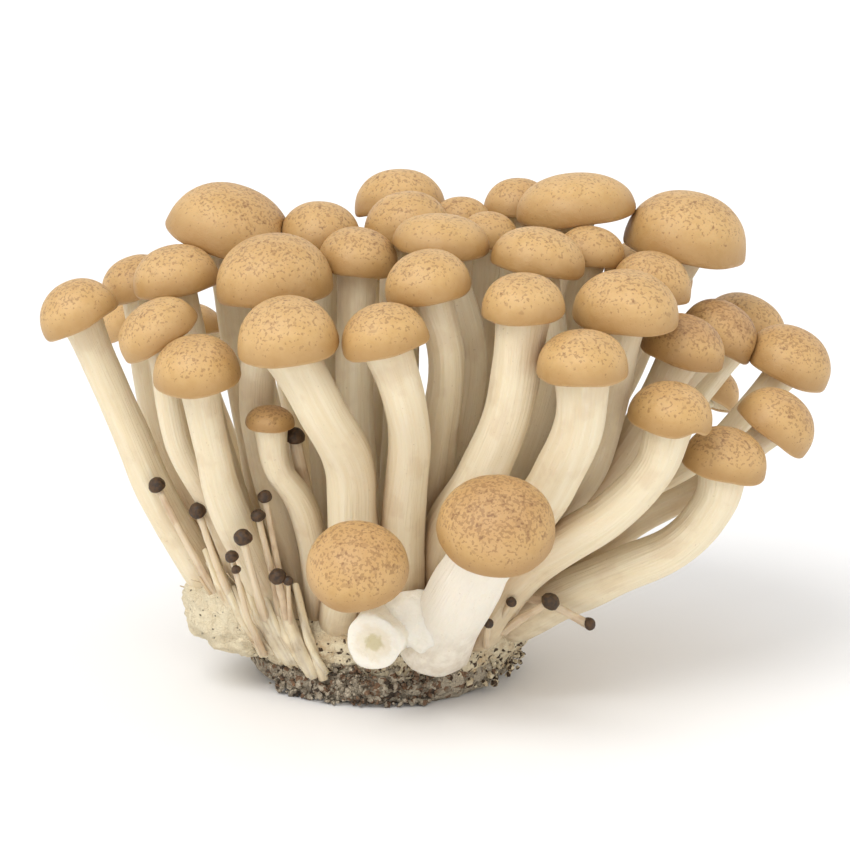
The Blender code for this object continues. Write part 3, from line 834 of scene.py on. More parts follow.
class Cluster:
    """All the mushrooms, each pressed against the ones that it touches."""

    def __init__(self, grower: Grower) -> None:
        """Works out every mushroom's line and space."""
        self.grower = grower
        self.members = {
            f"{row}_mushroom_{n}": m for row, members in ROWS.items() for n, m in enumerate(members, 1)
        }
        self.lines = {name: grower.line(m) for name, m in self.members.items()}
        self.spaces = {name: Space(self.lines[name], m) for name, m in self.members.items()}

    def neighbours(self, name: str) -> list[Space]:
        """The spaces within reach of one mushroom's."""
        own = self.spaces[name]
        return [space for other, space in self.spaces.items() if other != name and space.near(own)]

    def build(self, finishes: Finishes) -> None:
        """Grows and dresses every mushroom.

        Args:
            finishes: The materials of stem, gills and cap.
        """
        for n, (name, mushroom) in enumerate(self.members.items()):
            seed = (n * 0.618034) % 1.0
            skin = self.grower.grow(mushroom, self.lines[name], seed)
            skin.press(self.spaces[name], self.neighbours(name), self.grower.clearance)
            facts = {"seed": seed, "tone": mushroom.tone, "white": mushroom.white}
            dress(skin.piece(f"grown_{name}", finishes, facts), Slot.MUSHROOM, name)


# -------------------- the base


@dataclass
class Block:
    """A round block with an uneven outline, grown level by level.

    Args:
        levels: Height, half width, half depth and shift to the right, from the lowest to the highest.
        sides: Corners of each ring.
        rings: Rings between the lowest and the highest level.
        bumps: Size of the bumps, how far they stand out, both in millimetres, for each kind of bump.
        seed: What makes it differ from another.
        back: How far back its middle is.
    """

    levels: tuple[tuple[float, float, float, float], ...]
    sides: int
    rings: int
    bumps: tuple[tuple[float, float], ...]
    seed: float
    back: float = 0.0

    def build(self, name: str, finish: Material, floor: float) -> bpy.types.Object:
        """Grows the block.

        Args:
            name: The object's name.
            finish: Its material.
            floor: No corner goes lower than this.

        Returns:
            The object, in the scene.
        """
        skin = Skin()
        heights = np.array([level[0] for level in self.levels])
        steps = np.linspace(0, 1, len(self.levels))
        ring: list[bmesh.types.BMVert] = []
        for k in range(self.rings + 1):
            share = k / self.rings
            height, width, depth, shift = (
                float(np.interp(share, steps, [level[i] for level in self.levels])) for i in range(4)
            )
            middle = Vector((shift, self.back, height))
            ring = skin.ring(middle, UP, width, self.sides)
            bmesh.ops.scale(skin.bm, vec=(1, depth / width, 1), space=Matrix.Translation(-middle), verts=ring)
        skin.close(Vector((shift, self.back, float(heights[-1]) + 0.6)), middle)
        centre = Vector((self.levels[0][3], self.back, float(heights.mean())))
        skin.bm.normal_update()
        for v in skin.bm.verts:
            out = sum(height * lump(v.co, size, self.seed + size) for size, height in self.bumps)
            away = (v.co - centre).normalized()
            v.co += away * out
            v.co.z = max(v.co.z, floor)
        return skin.piece(name, [finish], {"seed": self.seed, "tone": 0.0})


@dataclass
class Strand:
    """A thin stem, thread or fibre along a line.

    Args:
        points: The points that it passes, from its root.
        radii: Its radius along the way.
        sides: Corners of each ring.
        rings: Rings along it.
    """

    points: tuple[Point, ...]
    radii: tuple[float, ...]
    sides: int = 8
    rings: int = 12

    def grow(self, skin: Skin, seed: float) -> None:
        """Adds the strand to a skin.

        Args:
            skin: The skin to add to.
            seed: What makes it differ from the others.
        """
        line = Line([Vector(p) for p in self.points], list(self.radii), 8)
        for k in range(self.rings + 1):
            share = k / self.rings
            middle, run, radius = line.at(share), line.direction(share), line.radius(share)
            ring = skin.ring(middle, run, radius, self.sides)
            skin.shape(ring, middle, lambda point, angle: 0.25 * lump(point, 2.4, seed))
            skin.place(ring, radius, share * line.length)
        skin.close(middle + run * radius * 0.4, middle)


@dataclass
class Sprouts:
    """The young brown-headed pins: five stand for solids of the frame and the rest are smaller."""

    grower: Grower
    stem_rings: int = 14
    stem_sides: int = 10
    head_rings: int = 7
    sides: int = 14

    def build(self, finishes: Finishes) -> None:
        """Grows and dresses every pin.

        Args:
            finishes: The materials of the thin stem and the head, in the order of a mushroom's.
        """
        for n, pin in enumerate(PINS, 1):
            seed = (n * 0.381966) % 1.0
            name = f"pin_{n}"
            piece = self._pin(pin, seed).piece(f"grown_{name}", finishes, {"seed": seed, "tone": 0.5})
            dress(piece, Slot.PIN, *([name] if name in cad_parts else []))

    def _pin(self, pin: Mushroom, seed: float) -> Skin:
        """One pin: a thin stem, and a knob of a head that never opened.

        Args:
            pin: Its sizes and place.
            seed: What makes it differ from the others.

        Returns:
            Its skin.
        """
        skin = Skin()
        skin.begin(Finish.STEM)
        line = self.grower.line(pin)
        for k in range(self.stem_rings + 1):
            share = k / self.stem_rings
            middle, radius = line.at(share), line.radius(share)
            ring = skin.ring(middle, line.direction(share) if k else UP, radius, self.stem_sides)
            skin.shape(ring, middle, lambda point, angle: 0.2 * lump(point, 2.2, seed))
            skin.place(ring, radius, share * line.length)
        skin.close(middle + pin.axis() * 0.05, middle)
        skin.begin(Finish.CAP)
        axis, centre = pin.axis(), pin.middle()
        for k in range(self.head_rings):
            turn = math.radians(-50 + 130 * k / (self.head_rings - 1))
            out, height = math.cos(turn), math.sin(turn) * (pin.dome if turn > 0 else 0.6)
            place = centre + axis * pin.radius * height
            ring = skin.ring(place, axis, pin.radius * out, self.sides)
            skin.shape(ring, place, lambda point, angle: 0.16 * lump(point, 1.3, seed))
            skin.place(ring, out, height)
        skin.close(centre + axis * pin.radius * pin.dome, centre)
        return skin


@dataclass
class CutStub:
    """The short stem that was cut through: a round of flesh with a flat cut face."""

    points: tuple[Point, ...] = ((3, -17.5, 14), (0.5, -26, 15.5), (-1.5, -33.5, 15.3))
    radius: float = 4.7
    sides: int = 40
    rings: int = 16
    # How far the cut face stands out past the stub's end, and how wide it is there, from its edge inwards
    face: tuple[tuple[float, float], ...] = (
        (0.22, 0.965), (0.38, 0.90), (0.40, 0.8), (0.36, 0.65), (0.30, 0.45), (0.42, 0.3), (0.55, 0.15),
    )
    # The flesh that joins the stub to the stem beside it
    bridge: tuple[Point, ...] = ((0.5, -27.5, 16.0), (4.5, -27.0, 17.0), (9.5, -25.5, 16.0))
    bridge_radii: tuple[float, ...] = (4.3, 4.9, 5.0)

    def line(self) -> Line:
        """Its centre line, from its root to its cut face."""
        widths = [self.radius * 1.05, self.radius * 1.02, self.radius]
        return Line([Vector(p) for p in self.points], widths, 12)

    def build(self, finish: Material) -> None:
        """Grows and dresses the stub.

        Args:
            finish: The material of cut flesh.
        """
        skin = Skin()
        line = self.line()

        def swell(point: Vector, angle: float) -> float:
            """How far a corner of the stub stands out."""
            return 0.05 * math.cos(3 * angle + 0.6) + 0.03 * math.cos(5 * angle) + 0.05 * lump(point, 5, 3)

        for k in range(self.rings + 1):
            share = k / self.rings
            middle = line.at(share)
            ring = skin.ring(middle, line.direction(share), line.radius(share), self.sides)
            skin.shape(ring, middle, swell)
            skin.place(ring, 1.0, share)
        run = line.direction(1.0)
        for forward, out in self.face:

            def waver(angle: float, out: float = out) -> float:
                """How far the cut face rises."""
                return 0.05 * math.cos(4 * angle + out * 9)

            middle = line.at(1.0) + run * forward
            ring = skin.grow(middle, run, self.radius * out)
            skin.shape(ring, middle, lambda point, angle: 0.03 * lump(point, 2, 5), waver, run)
            skin.place(ring, out, 1.0)
        skin.close(middle, middle)
        dress(skin.piece("cut_stub_flesh", [finish], {"seed": 0.4, "tone": 0.0}), Slot.STUB, "cut_stub")
        bridge = Skin()
        Strand(self.bridge, self.bridge_radii, 28, 22).grow(bridge, 2.6)
        dress(bridge.piece("bridging_flesh", [finish], {"seed": 0.6, "tone": 0.0}), Slot.STUB)


@dataclass
class Scatter:
    """Crumbs of substrate and short threads, spread over the front of the base.

    Args:
        count: How many crumbs.
        sizes: The smallest and the largest radius.
        arc: The first and last direction round the base, in degrees.
        heights: The lowest and the highest place.
        widths: Half the width and half the depth of the base.
        seed: What makes it differ from another.
    """

    LEVELS = (0, 3, 8, 14)  # heights where the base's outline is known
    OUTLINE = (0.98, 1.0, 0.95, 0.86)  # how wide the base is there, against its widths
    MOSTLY_SMALL = 2.5  # the power that makes small crumbs commoner than large ones
    FLOOR = 0.05

    count: int
    sizes: tuple[float, float]
    arc: tuple[float, float]
    heights: tuple[float, float]
    widths: tuple[float, float]
    seed: int

    def build(self, name: str, finish: Material, slot: Slot) -> None:
        """Spreads and dresses the crumbs as one piece.

        Args:
            name: The piece's name.
            finish: Its material.
            slot: The record's material slot that it belongs to.
        """
        skin = Skin()
        dice = np.random.default_rng(self.seed)
        for _ in range(self.count):
            turn = math.radians(dice.uniform(*self.arc))
            height = dice.uniform(*self.heights)
            out = float(np.interp(height, self.LEVELS, self.OUTLINE)) * dice.uniform(0.95, 1.02)
            width, depth = (half * out for half in self.widths)
            place = Vector((width * math.cos(turn), depth * math.sin(turn), height))
            small, large = self.sizes
            size = small + (large - small) * dice.random() ** self.MOSTLY_SMALL
            squash = Matrix.Diagonal(Vector(dice.uniform(0.6, 1.3, 3)) * size).to_4x4()
            spin = Matrix.Rotation(dice.uniform(0, math.tau), 4, Vector(dice.normal(size=3)).normalized())
            made = bmesh.ops.create_icosphere(
                skin.bm, subdivisions=1, radius=1, matrix=Matrix.Translation(place) @ spin @ squash
            )
            for v in made["verts"]:
                v.co += (v.co - place) * dice.uniform(-0.25, 0.25)
                v.co.z = max(v.co.z, self.FLOOR)
        dress(skin.piece(name, [finish], {"seed": 0.1, "tone": 0.0}), slot)


# -------------------- the finishes

Colour = tuple[float, float, float]
Value = float | bpy.types.NodeSocket
Tint = Colour | bpy.types.NodeSocket
Inputs = dict[str | int, object]


class Graph:
    """Adds nodes to a material or a group, and joins them."""

    def __init__(self, tree: bpy.types.NodeTree) -> None:
        """Keeps the node tree to add to."""
        self.tree = tree

    def add(self, kind: str, inputs: Inputs | None = None, **settings: object) -> bpy.types.Node:
        """Adds one node.

        Args:
            kind: The node's type.
            inputs: A value or a socket for each input.
            **settings: The node's own settings.

        Returns:
            The node.
        """
        node = self.tree.nodes.new(kind)
        for setting, value in settings.items():
            setattr(node, setting, value)
        for key, value in (inputs or {}).items():
            if isinstance(value, bpy.types.NodeSocket):
                self.tree.links.new(value, node.inputs[key])
            else:
                node.inputs[key].default_value = (*value, 1.0) if node.inputs[key].type == "RGBA" else value
        return node

    def math(self, operation: str, a: Value, b: Value = 0.0) -> bpy.types.NodeSocket:
        """Works out one number from two."""
        return self.add("ShaderNodeMath", {0: a, 1: b}, operation=operation).outputs[0]

    def plus(self, a: Value, b: Value) -> bpy.types.NodeSocket:
        """Adds two numbers."""
        return self.math("ADD", a, b)

    def minus(self, a: Value, b: Value) -> bpy.types.NodeSocket:
        """Takes the second number from the first."""
        return self.math("SUBTRACT", a, b)

    def times(self, a: Value, b: Value) -> bpy.types.NodeSocket:
        """Multiplies two numbers."""
        return self.math("MULTIPLY", a, b)

    def over(self, a: Value, b: Value) -> bpy.types.NodeSocket:
        """Divides the first number by the second."""
        return self.math("DIVIDE", a, b)

    def noise(
        self,
        place: bpy.types.NodeSocket,
        scale: Value,
        detail: float,
        rough: float = 0.5,
        output: str = "Fac",
    ) -> bpy.types.NodeSocket:
        """Smooth noise over a place, as a value or as a colour."""
        inputs = {"Vector": place, "Scale": scale, "Detail": detail, "Roughness": rough}
        return self.add("ShaderNodeTexNoise", inputs).outputs[output]

    def bump(self, height: Value, strength: float, depth: float) -> bpy.types.NodeSocket:
        """Turns a relief into a surface direction. Depth is in metres."""
        inputs = {"Height": height, "Strength": strength, "Distance": depth}
        return self.add("ShaderNodeBump", inputs).outputs[0]

    def feed(self, shader: bpy.types.Node, socket: str, value: bpy.types.NodeSocket) -> None:
        """Joins a value to one of a shader's inputs."""
        self.tree.links.new(value, shader.inputs[socket])

    def band(self, value: Value, low: float, high: float) -> bpy.types.NodeSocket:
        """Rises smoothly from 0 at low to 1 at high, or falls if low is the greater.

        Args:
            value: The value to read.
            low: Where the result is 0.
            high: Where the result is 1.

        Returns:
            The result.
        """
        inputs = {"Value": value, "From Min": min(low, high), "From Max": max(low, high)}
        inputs |= {"To Min": float(low > high), "To Max": float(low < high)}
        return self.add("ShaderNodeMapRange", inputs, interpolation_type="SMOOTHSTEP").outputs[0]

    def blend(self, share: Value, a: Tint, b: Tint, way: str = "MIX") -> bpy.types.NodeSocket:
        """Mixes two colours."""
        node = self.add("ShaderNodeMix", {0: share, 6: a, 7: b}, data_type="RGBA", blend_type=way)
        return node.outputs[2]

    def fact(self, name: str, output: str = "Fac") -> bpy.types.NodeSocket:
        """Reads one of the piece's own attributes."""
        return self.add("ShaderNodeAttribute", attribute_name=name).outputs[output]

    def place(self) -> bpy.types.NodeSocket:
        """Reads the place on the object, in metres."""
        return self.add("ShaderNodeTexCoord").outputs["Object"]

    def split(self, vector: bpy.types.NodeSocket) -> tuple[bpy.types.NodeSocket, ...]:
        """Takes a vector apart."""
        return tuple(self.add("ShaderNodeSeparateXYZ", {0: vector}).outputs)

    def use(self, group: bpy.types.NodeTree, **inputs: object) -> bpy.types.NodeSocket:
        """Places a group and returns its first output.

        Args:
            group: The group.
            **inputs: A value or a socket for each input, by its name in small letters.

        Returns:
            Its first output.
        """
        node = self.tree.nodes.new("ShaderNodeGroup")
        node.node_tree = group
        for name, value in inputs.items():
            socket = node.inputs[name.capitalize()]
            if isinstance(value, bpy.types.NodeSocket):
                self.tree.links.new(value, socket)
            else:
                socket.default_value = value
        return node.outputs[0]


class Pattern:
    """A shader node group with named inputs and one output.

    Args:
        name: The group's name.
        inputs: Its number inputs with their usual values. It also has a vector input called Place.
        output: Its output's name.
    """

    def __init__(self, name: str, inputs: dict[str, float], output: str) -> None:
        """Makes the group with its inputs and its output."""
        self.tree = bpy.data.node_groups.new(name, "ShaderNodeTree")
        self.tree.interface.new_socket("Place", in_out="INPUT", socket_type="NodeSocketVector")
        for label, usual in inputs.items():
            socket = self.tree.interface.new_socket(label, in_out="INPUT", socket_type="NodeSocketFloat")
            socket.default_value = usual
        self.tree.interface.new_socket(output, in_out="OUTPUT", socket_type="NodeSocketFloat")
        self.graph = Graph(self.tree)
        self.inputs = self.graph.add("NodeGroupInput").outputs

    def finish(self, value: bpy.types.NodeSocket) -> bpy.types.NodeTree:
        """Joins the group's output and returns the group."""
        self.graph.add("NodeGroupOutput", {0: value})
        return self.tree


class Patterns:
    """The patterns that several finishes share."""

    def __init__(self) -> None:
        """Builds each group once."""
        self.cloud = self._cloud()
        self.speckle = self._speckle()
        self.fibres = self._fibres()
        self.crumbs = self._crumbs()

    @staticmethod
    def _cloud() -> bpy.types.NodeTree:
        """Soft patches of a size in millimetres, as a value from 0 to 1."""
        made = Pattern("soft_patches", {"Size": 4.0}, "Value")
        g = made.graph
        scale = g.over(1000.0, made.inputs["Size"])
        soft = g.noise(made.inputs["Place"], scale, 3.0, 0.55)
        return made.finish(g.band(soft, 0.32, 0.68))

    @staticmethod
    def _speckle() -> bpy.types.NodeTree:
        """Small uneven flecks of a size in millimetres. Reach is from 0 for none to 1 for crowded."""
        made = Pattern("small_flecks", {"Size": 0.5, "Reach": 0.5}, "Mask")
        g = made.graph
        scale = g.over(1000.0, made.inputs["Size"])
        fine = g.noise(made.inputs["Place"], scale, 1.0)
        broad = g.noise(made.inputs["Place"], g.times(scale, 0.23), 1.0)
        level = g.plus(fine, g.times(broad, 0.14))
        need = g.minus(0.83, g.times(made.inputs["Reach"], 0.33))
        return made.finish(g.band(g.minus(level, need), 0.0, 0.08))

    @staticmethod
    def _fibres() -> bpy.types.NodeTree:
        """Long fibres along a piece, from its own place in millimetres."""
        made = Pattern("long_fibres", {"Spacing": 0.5, "Seed": 0.0}, "Value")
        g = made.graph
        x, y, z = g.split(made.inputs["Place"])
        across = g.over(1.0, made.inputs["Spacing"])
        along = g.over(z, g.times(made.inputs["Spacing"], 26.0))
        moved = g.plus(along, g.times(made.inputs["Seed"], 31.0))
        vector = g.add("ShaderNodeCombineXYZ", {0: g.times(x, across), 1: g.times(y, across), 2: moved})
        streak = g.noise(vector.outputs[0], 1.0, 3.0, 0.6)
        return made.finish(g.band(streak, 0.28, 0.72))

    @staticmethod
    def _crumbs() -> bpy.types.NodeTree:
        """Crumbs of a size in millimetres: each has its own value from 0 to 1."""
        made = Pattern("crumbs", {"Size": 0.9}, "Value")
        g = made.graph
        scale = g.over(1000.0, made.inputs["Size"])
        bend = g.noise(made.inputs["Place"], g.times(scale, 1.3), 2.0, output="Color")
        shift = g.add("ShaderNodeVectorMath", {0: bend, 3: 0.0009}, operation="SCALE")
        moved = g.add("ShaderNodeVectorMath", {0: made.inputs["Place"], 1: shift.outputs[0]}, operation="ADD")
        cells = g.add("ShaderNodeTexVoronoi", {"Vector": moved.outputs[0], "Scale": scale})
        return made.finish(g.split(cells.outputs["Color"])[0])


def shaded(name: str) -> tuple[Material, Graph, bpy.types.Node]:
    """A new material, its graph and its surface shader.

    Args:
        name: The material's name.

    Returns:
        The material, its graph and its surface shader.
    """
    material = bpy.data.materials.new(name)
    material.use_nodes = True
    graph = Graph(material.node_tree)
    return material, graph, material.node_tree.nodes["Principled BSDF"]


def set_flesh(shader: bpy.types.Node, weight: float, reach: float, tint: Colour) -> None:
    """Lets light into flesh.

    Args:
        shader: The surface shader.
        weight: How much of the light goes in.
        reach: How far it goes, in metres.
        tint: How far each colour goes, against the reach.
    """
    shader.inputs["Subsurface Weight"].default_value = weight
    shader.inputs["Subsurface Scale"].default_value = reach
    shader.inputs["Subsurface Radius"].default_value = tint


@dataclass(frozen=True)
class CapSkin:
    """Golden tan skin with umber flecks that crowd towards the crown, a smooth paler rim, and painted amber
    shade on the lower dome and where a neighbour comes close.
    """

    gold: Colour = (0.605, 0.375, 0.138)
    straw: Colour = (0.720, 0.478, 0.210)
    shade_amber: Colour = (0.330, 0.170, 0.050)
    russet: Colour = (0.370, 0.180, 0.070)
    umber: Colour = (0.215, 0.098, 0.036)
    rim: Colour = (0.640, 0.430, 0.215)
    roughness: float = 0.46
    fleck: float = 0.50  # size of the small flecks, in millimetres
    fleck_depth: float = 0.46  # how far they reach towards umber
    blotch: float = 1.15  # size of the large ones
    blotch_depth: float = 0.30

    def material(self, patterns: Patterns) -> Material:
        """Builds the finish.

        Args:
            patterns: The shared patterns.

        Returns:
            The material.
        """
        material, g, shader = shaded("speckled_cap_skin")
        place, tone = g.place(), g.fact("tone")
        _, _, height = g.split(g.fact("local", "Vector"))
        large, small = (g.use(patterns.cloud, place=place, size=size) for size in (5.2, 1.5))
        patches = g.plus(g.times(large, 0.6), g.times(small, 0.4))
        colour = g.blend(patches, self.gold, self.straw)
        # Painted shade: the lower part of the dome is darkened towards amber, more on the russet caps.
        low = g.times(g.band(height, 0.62, 0.02), g.plus(0.52, g.times(tone, 0.3)))
        colour = g.blend(low, colour, self.shade_amber)
        crown = g.band(g.plus(height, g.times(large, 0.25)), 0.25, 1.05)
        colour = g.blend(g.times(crown, g.plus(0.10, g.times(tone, 0.55))), colour, self.russet)
        # Painted contact shade: amber where a neighbour comes close.
        colour = g.blend(g.times(g.fact("contact_shade"), 0.5), colour, self.shade_amber)
        edge = g.band(g.plus(height, g.times(small, 0.03)), 0.0, -0.07)
        colour = g.blend(g.times(edge, 0.55), colour, self.rim)
        spread = g.plus(g.times(g.band(height, -0.10, 0.75), 0.62), g.times(tone, 0.22))
        fine = g.use(patterns.speckle, place=place, size=self.fleck, reach=spread)
        broad = g.use(patterns.speckle, place=place, size=self.blotch, reach=g.times(spread, 0.70))
        flecks = g.plus(g.times(fine, self.fleck_depth), g.times(broad, self.blotch_depth))
        colour = g.blend(flecks, colour, self.umber)
        g.feed(shader, "Base Color", colour)
        rough = g.plus(self.roughness, g.times(g.plus(flecks, small), 0.07))
        g.feed(shader, "Roughness", rough)
        grain = g.use(patterns.cloud, place=place, size=0.28)
        relief = g.plus(g.times(grain, 0.35), g.plus(small, g.times(flecks, -0.5)))
        g.feed(shader, "Normal", g.bump(relief, 0.35, 0.00012))
        set_flesh(shader, 0.12, 0.0012, (1.0, 0.55, 0.25))
        return material


@dataclass(frozen=True)
class StemFlesh:
    """Cream flesh with long pale fibres and faint tan stains, and painted brown shade where a neighbour comes
    close.
    """

    name: str = "fibrous_stem_flesh"
    cream: Colour = (0.785, 0.660, 0.440)
    white: Colour = (0.885, 0.795, 0.605)
    stain: Colour = (0.580, 0.400, 0.230)
    painted_stem_shade: Colour = (0.400, 0.225, 0.095)
    bleached: Colour = (0.900, 0.850, 0.755)
    earth: Colour = (0.420, 0.300, 0.170)
    roughness: float = 0.55
    stained: float = 0.30

    def material(self, patterns: Patterns) -> Material:
        """Builds the finish.

        Args:
            patterns: The shared patterns.

        Returns:
            The material.
        """
        material, g, shader = shaded(self.name)
        place, local, seed = g.place(), g.fact("local", "Vector"), g.fact("seed")
        fine = g.use(patterns.fibres, place=local, spacing=0.38, seed=seed)
        broad = g.use(patterns.fibres, place=local, spacing=1.4, seed=seed)
        patch = g.use(patterns.cloud, place=place, size=7.0)
        pale = g.plus(g.times(fine, 0.35), g.times(broad, 0.5))
        colour = g.blend(pale, self.cream, self.white)
        stain = g.times(g.band(g.plus(patch, g.times(fine, 0.3)), 0.75, 1.3), self.stained)
        colour = g.blend(stain, colour, self.stain)
        colour = g.blend(g.fact("white"), colour, self.bleached)
        # Painted contact shade: brown where a neighbour comes close.
        colour = g.blend(g.times(g.fact("contact_shade"), 0.8), colour, self.painted_stem_shade)
        height = g.split(place)[2]
        low = g.times(g.band(height, 0.020, 0.009), g.use(patterns.cloud, place=place, size=2.2))
        colour = g.blend(g.times(low, 0.35), colour, self.earth)
        flecks = g.use(patterns.speckle, place=place, size=0.5, reach=0.10)
        colour = g.blend(g.times(flecks, 0.35), colour, self.earth)
        g.feed(shader, "Base Color", colour)
        g.feed(shader, "Roughness", g.plus(self.roughness, g.times(fine, 0.12)))
        relief = g.plus(fine, g.times(broad, 1.4))
        g.feed(shader, "Normal", g.bump(relief, 0.45, 0.00016))
        set_flesh(shader, 0.25, 0.0022, (1.0, 0.72, 0.42))
        return material


@dataclass(frozen=True)
class GillFlesh:
    """Pale cream gills, with painted brown shade where their pleats run deepest."""

    edge: Colour = (0.850, 0.740, 0.545)
    gap_shade: Colour = (0.560, 0.390, 0.215)

    def material(self, patterns: Patterns) -> Material:
        """Builds the finish.

        Args:
            patterns: The shared patterns.

        Returns:
            The material.
        """
        material, g, shader = shaded("pale_gills")
        depth = g.split(g.fact("local", "Vector"))[2]
        grain = g.use(patterns.cloud, place=g.place(), size=0.9)
        # Painted shade: browner where the pleats run deepest.
        share = g.plus(g.times(depth, 3.0), g.times(grain, 0.3))
        g.feed(shader, "Base Color", g.blend(share, self.edge, self.gap_shade))
        g.feed(shader, "Roughness", g.plus(0.55, g.times(grain, 0.1)))
        g.feed(shader, "Normal", g.bump(grain, 0.3, 0.0001))
        set_flesh(shader, 0.2, 0.0015, (1.0, 0.7, 0.4))
        return material


@dataclass(frozen=True)
class PinHead:
    """Dark brown felted skin, lighter in patches."""

    dark: Colour = (0.028, 0.014, 0.006)
    light: Colour = (0.090, 0.046, 0.018)

    def material(self, patterns: Patterns) -> Material:
        """Builds the finish.

        Args:
            patterns: The shared patterns.

        Returns:
            The material.
        """
        material, g, shader = shaded("brown_pin_head")
        place = g.place()
        patch = g.use(patterns.cloud, place=place, size=0.7)
        g.feed(shader, "Base Color", g.blend(patch, self.dark, self.light))
        g.feed(shader, "Roughness", g.plus(0.5, g.times(patch, 0.2)))
        g.feed(shader, "Normal", g.bump(patch, 0.5, 0.0001))
        return material


@dataclass(frozen=True)
class CutFlesh:
    """White cut flesh with a straw-coloured heart, smooth where the blade passed."""

    white: Colour = (0.900, 0.850, 0.745)
    ring: Colour = (0.840, 0.760, 0.610)
    heart: Colour = (0.640, 0.560, 0.350)
    rind: Colour = (0.860, 0.780, 0.640)

    def material(self, patterns: Patterns) -> Material:
        """Builds the finish.

        Args:
            patterns: The shared patterns.

        Returns:
            The material.
        """
        material, g, shader = shaded("cut_flesh")
        place = g.place()
        x, y, along = g.split(g.fact("local", "Vector"))
        out = g.math("SQRT", g.plus(g.times(x, x), g.times(y, y)))
        patch, fine = (g.use(patterns.cloud, place=place, size=size) for size in (1.6, 0.5))
        out = g.plus(out, g.times(g.minus(patch, 0.5), 0.16))
        colour = g.blend(g.band(out, 0.78, 0.52), self.white, self.ring)
        colour = g.blend(g.band(out, 0.42, 0.20), colour, self.heart)
        side = g.times(g.band(along, 0.99, 0.9), g.plus(0.4, g.times(patch, 0.4)))
        colour = g.blend(side, colour, self.rind)
        g.feed(shader, "Base Color", colour)
        g.feed(shader, "Roughness", g.plus(0.5, g.times(fine, 0.15)))
        relief = g.plus(fine, g.times(patch, 2.0))
        g.feed(shader, "Normal", g.bump(relief, 0.4, 0.00018))
        set_flesh(shader, 0.25, 0.002, (1.0, 0.75, 0.5))
        return material


@dataclass(frozen=True)
class Mycelium:
    """Felted cream mycelium with tan patches and dark pits."""

    name: str = "felted_mycelium"
    cream: Colour = (0.860, 0.750, 0.530)
    tan: Colour = (0.540, 0.350, 0.165)
    pit: Colour = (0.085, 0.052, 0.028)
    pitted: float = 0.42
    browned: float = 0.75

    def material(self, patterns: Patterns) -> Material:
        """Builds the finish.

        Args:
            patterns: The shared patterns.

        Returns:
            The material.
        """
        material, g, shader = shaded(self.name)
        place = g.place()
        right, _, height = g.split(place)
        large, small, fuzz = (g.use(patterns.cloud, place=place, size=size) for size in (3.6, 1.1, 0.3))
        clean = g.band(right, -0.012, -0.024)
        brown = g.times(g.times(large, small), g.minus(self.browned, g.times(clean, 0.5)))
        colour = g.blend(brown, self.cream, self.tan)
        low = g.band(height, 0.009, 0.003)
        reach = g.plus(self.pitted, g.minus(g.times(low, 0.4), g.times(clean, 0.3)))
        pits = g.use(patterns.speckle, place=place, size=0.9, reach=reach)
        colour = g.blend(pits, colour, self.pit)
        g.feed(shader, "Base Color", colour)
        g.feed(shader, "Roughness", g.plus(0.8, g.times(fuzz, 0.15)))
        relief = g.plus(g.times(fuzz, 0.4), g.minus(small, pits))
        g.feed(shader, "Normal", g.bump(relief, 0.8, 0.0005))
        return material


@dataclass(frozen=True)
class Substrate:
    """Crumbly substrate: dark grains, brown husks and pale bits held by threads of mycelium."""

    name: str = "crumbly_substrate"
    dark: Colour = (0.070, 0.045, 0.028)
    husk: Colour = (0.290, 0.155, 0.080)
    grey: Colour = (0.400, 0.330, 0.240)
    pale: Colour = (0.700, 0.600, 0.450)
    paleness: float = 0.14

    def material(self, patterns: Patterns) -> Material:
        """Builds the finish.

        Args:
            patterns: The shared patterns.

        Returns:
            The material.
        """
        material, g, shader = shaded(self.name)
        place = g.place()
        pick = g.plus(g.use(patterns.crumbs, place=place, size=0.85), self.paleness)
        dust, patch = (g.use(patterns.cloud, place=place, size=size) for size in (0.35, 3.0))
        pick = g.plus(pick, g.times(g.minus(patch, 0.5), 0.35))
        grown_over = g.times(g.band(g.split(place)[0], 0.006, 0.018), 0.30)
        pick = g.plus(pick, grown_over)
        colour = g.blend(g.band(pick, 0.18, 0.30), self.dark, self.husk)
        colour = g.blend(g.band(pick, 0.42, 0.52), colour, self.grey)
        colour = g.blend(g.band(pick, 0.74, 0.84), colour, self.pale)
        colour = g.blend(g.times(dust, 0.25), colour, self.grey)
        g.feed(shader, "Base Color", colour)
        g.feed(shader, "Roughness", g.plus(0.82, g.times(dust, 0.12)))
        g.feed(shader, "Normal", g.bump(g.plus(pick, dust), 0.9, 0.0005))
        return material


# -------------------- the whole


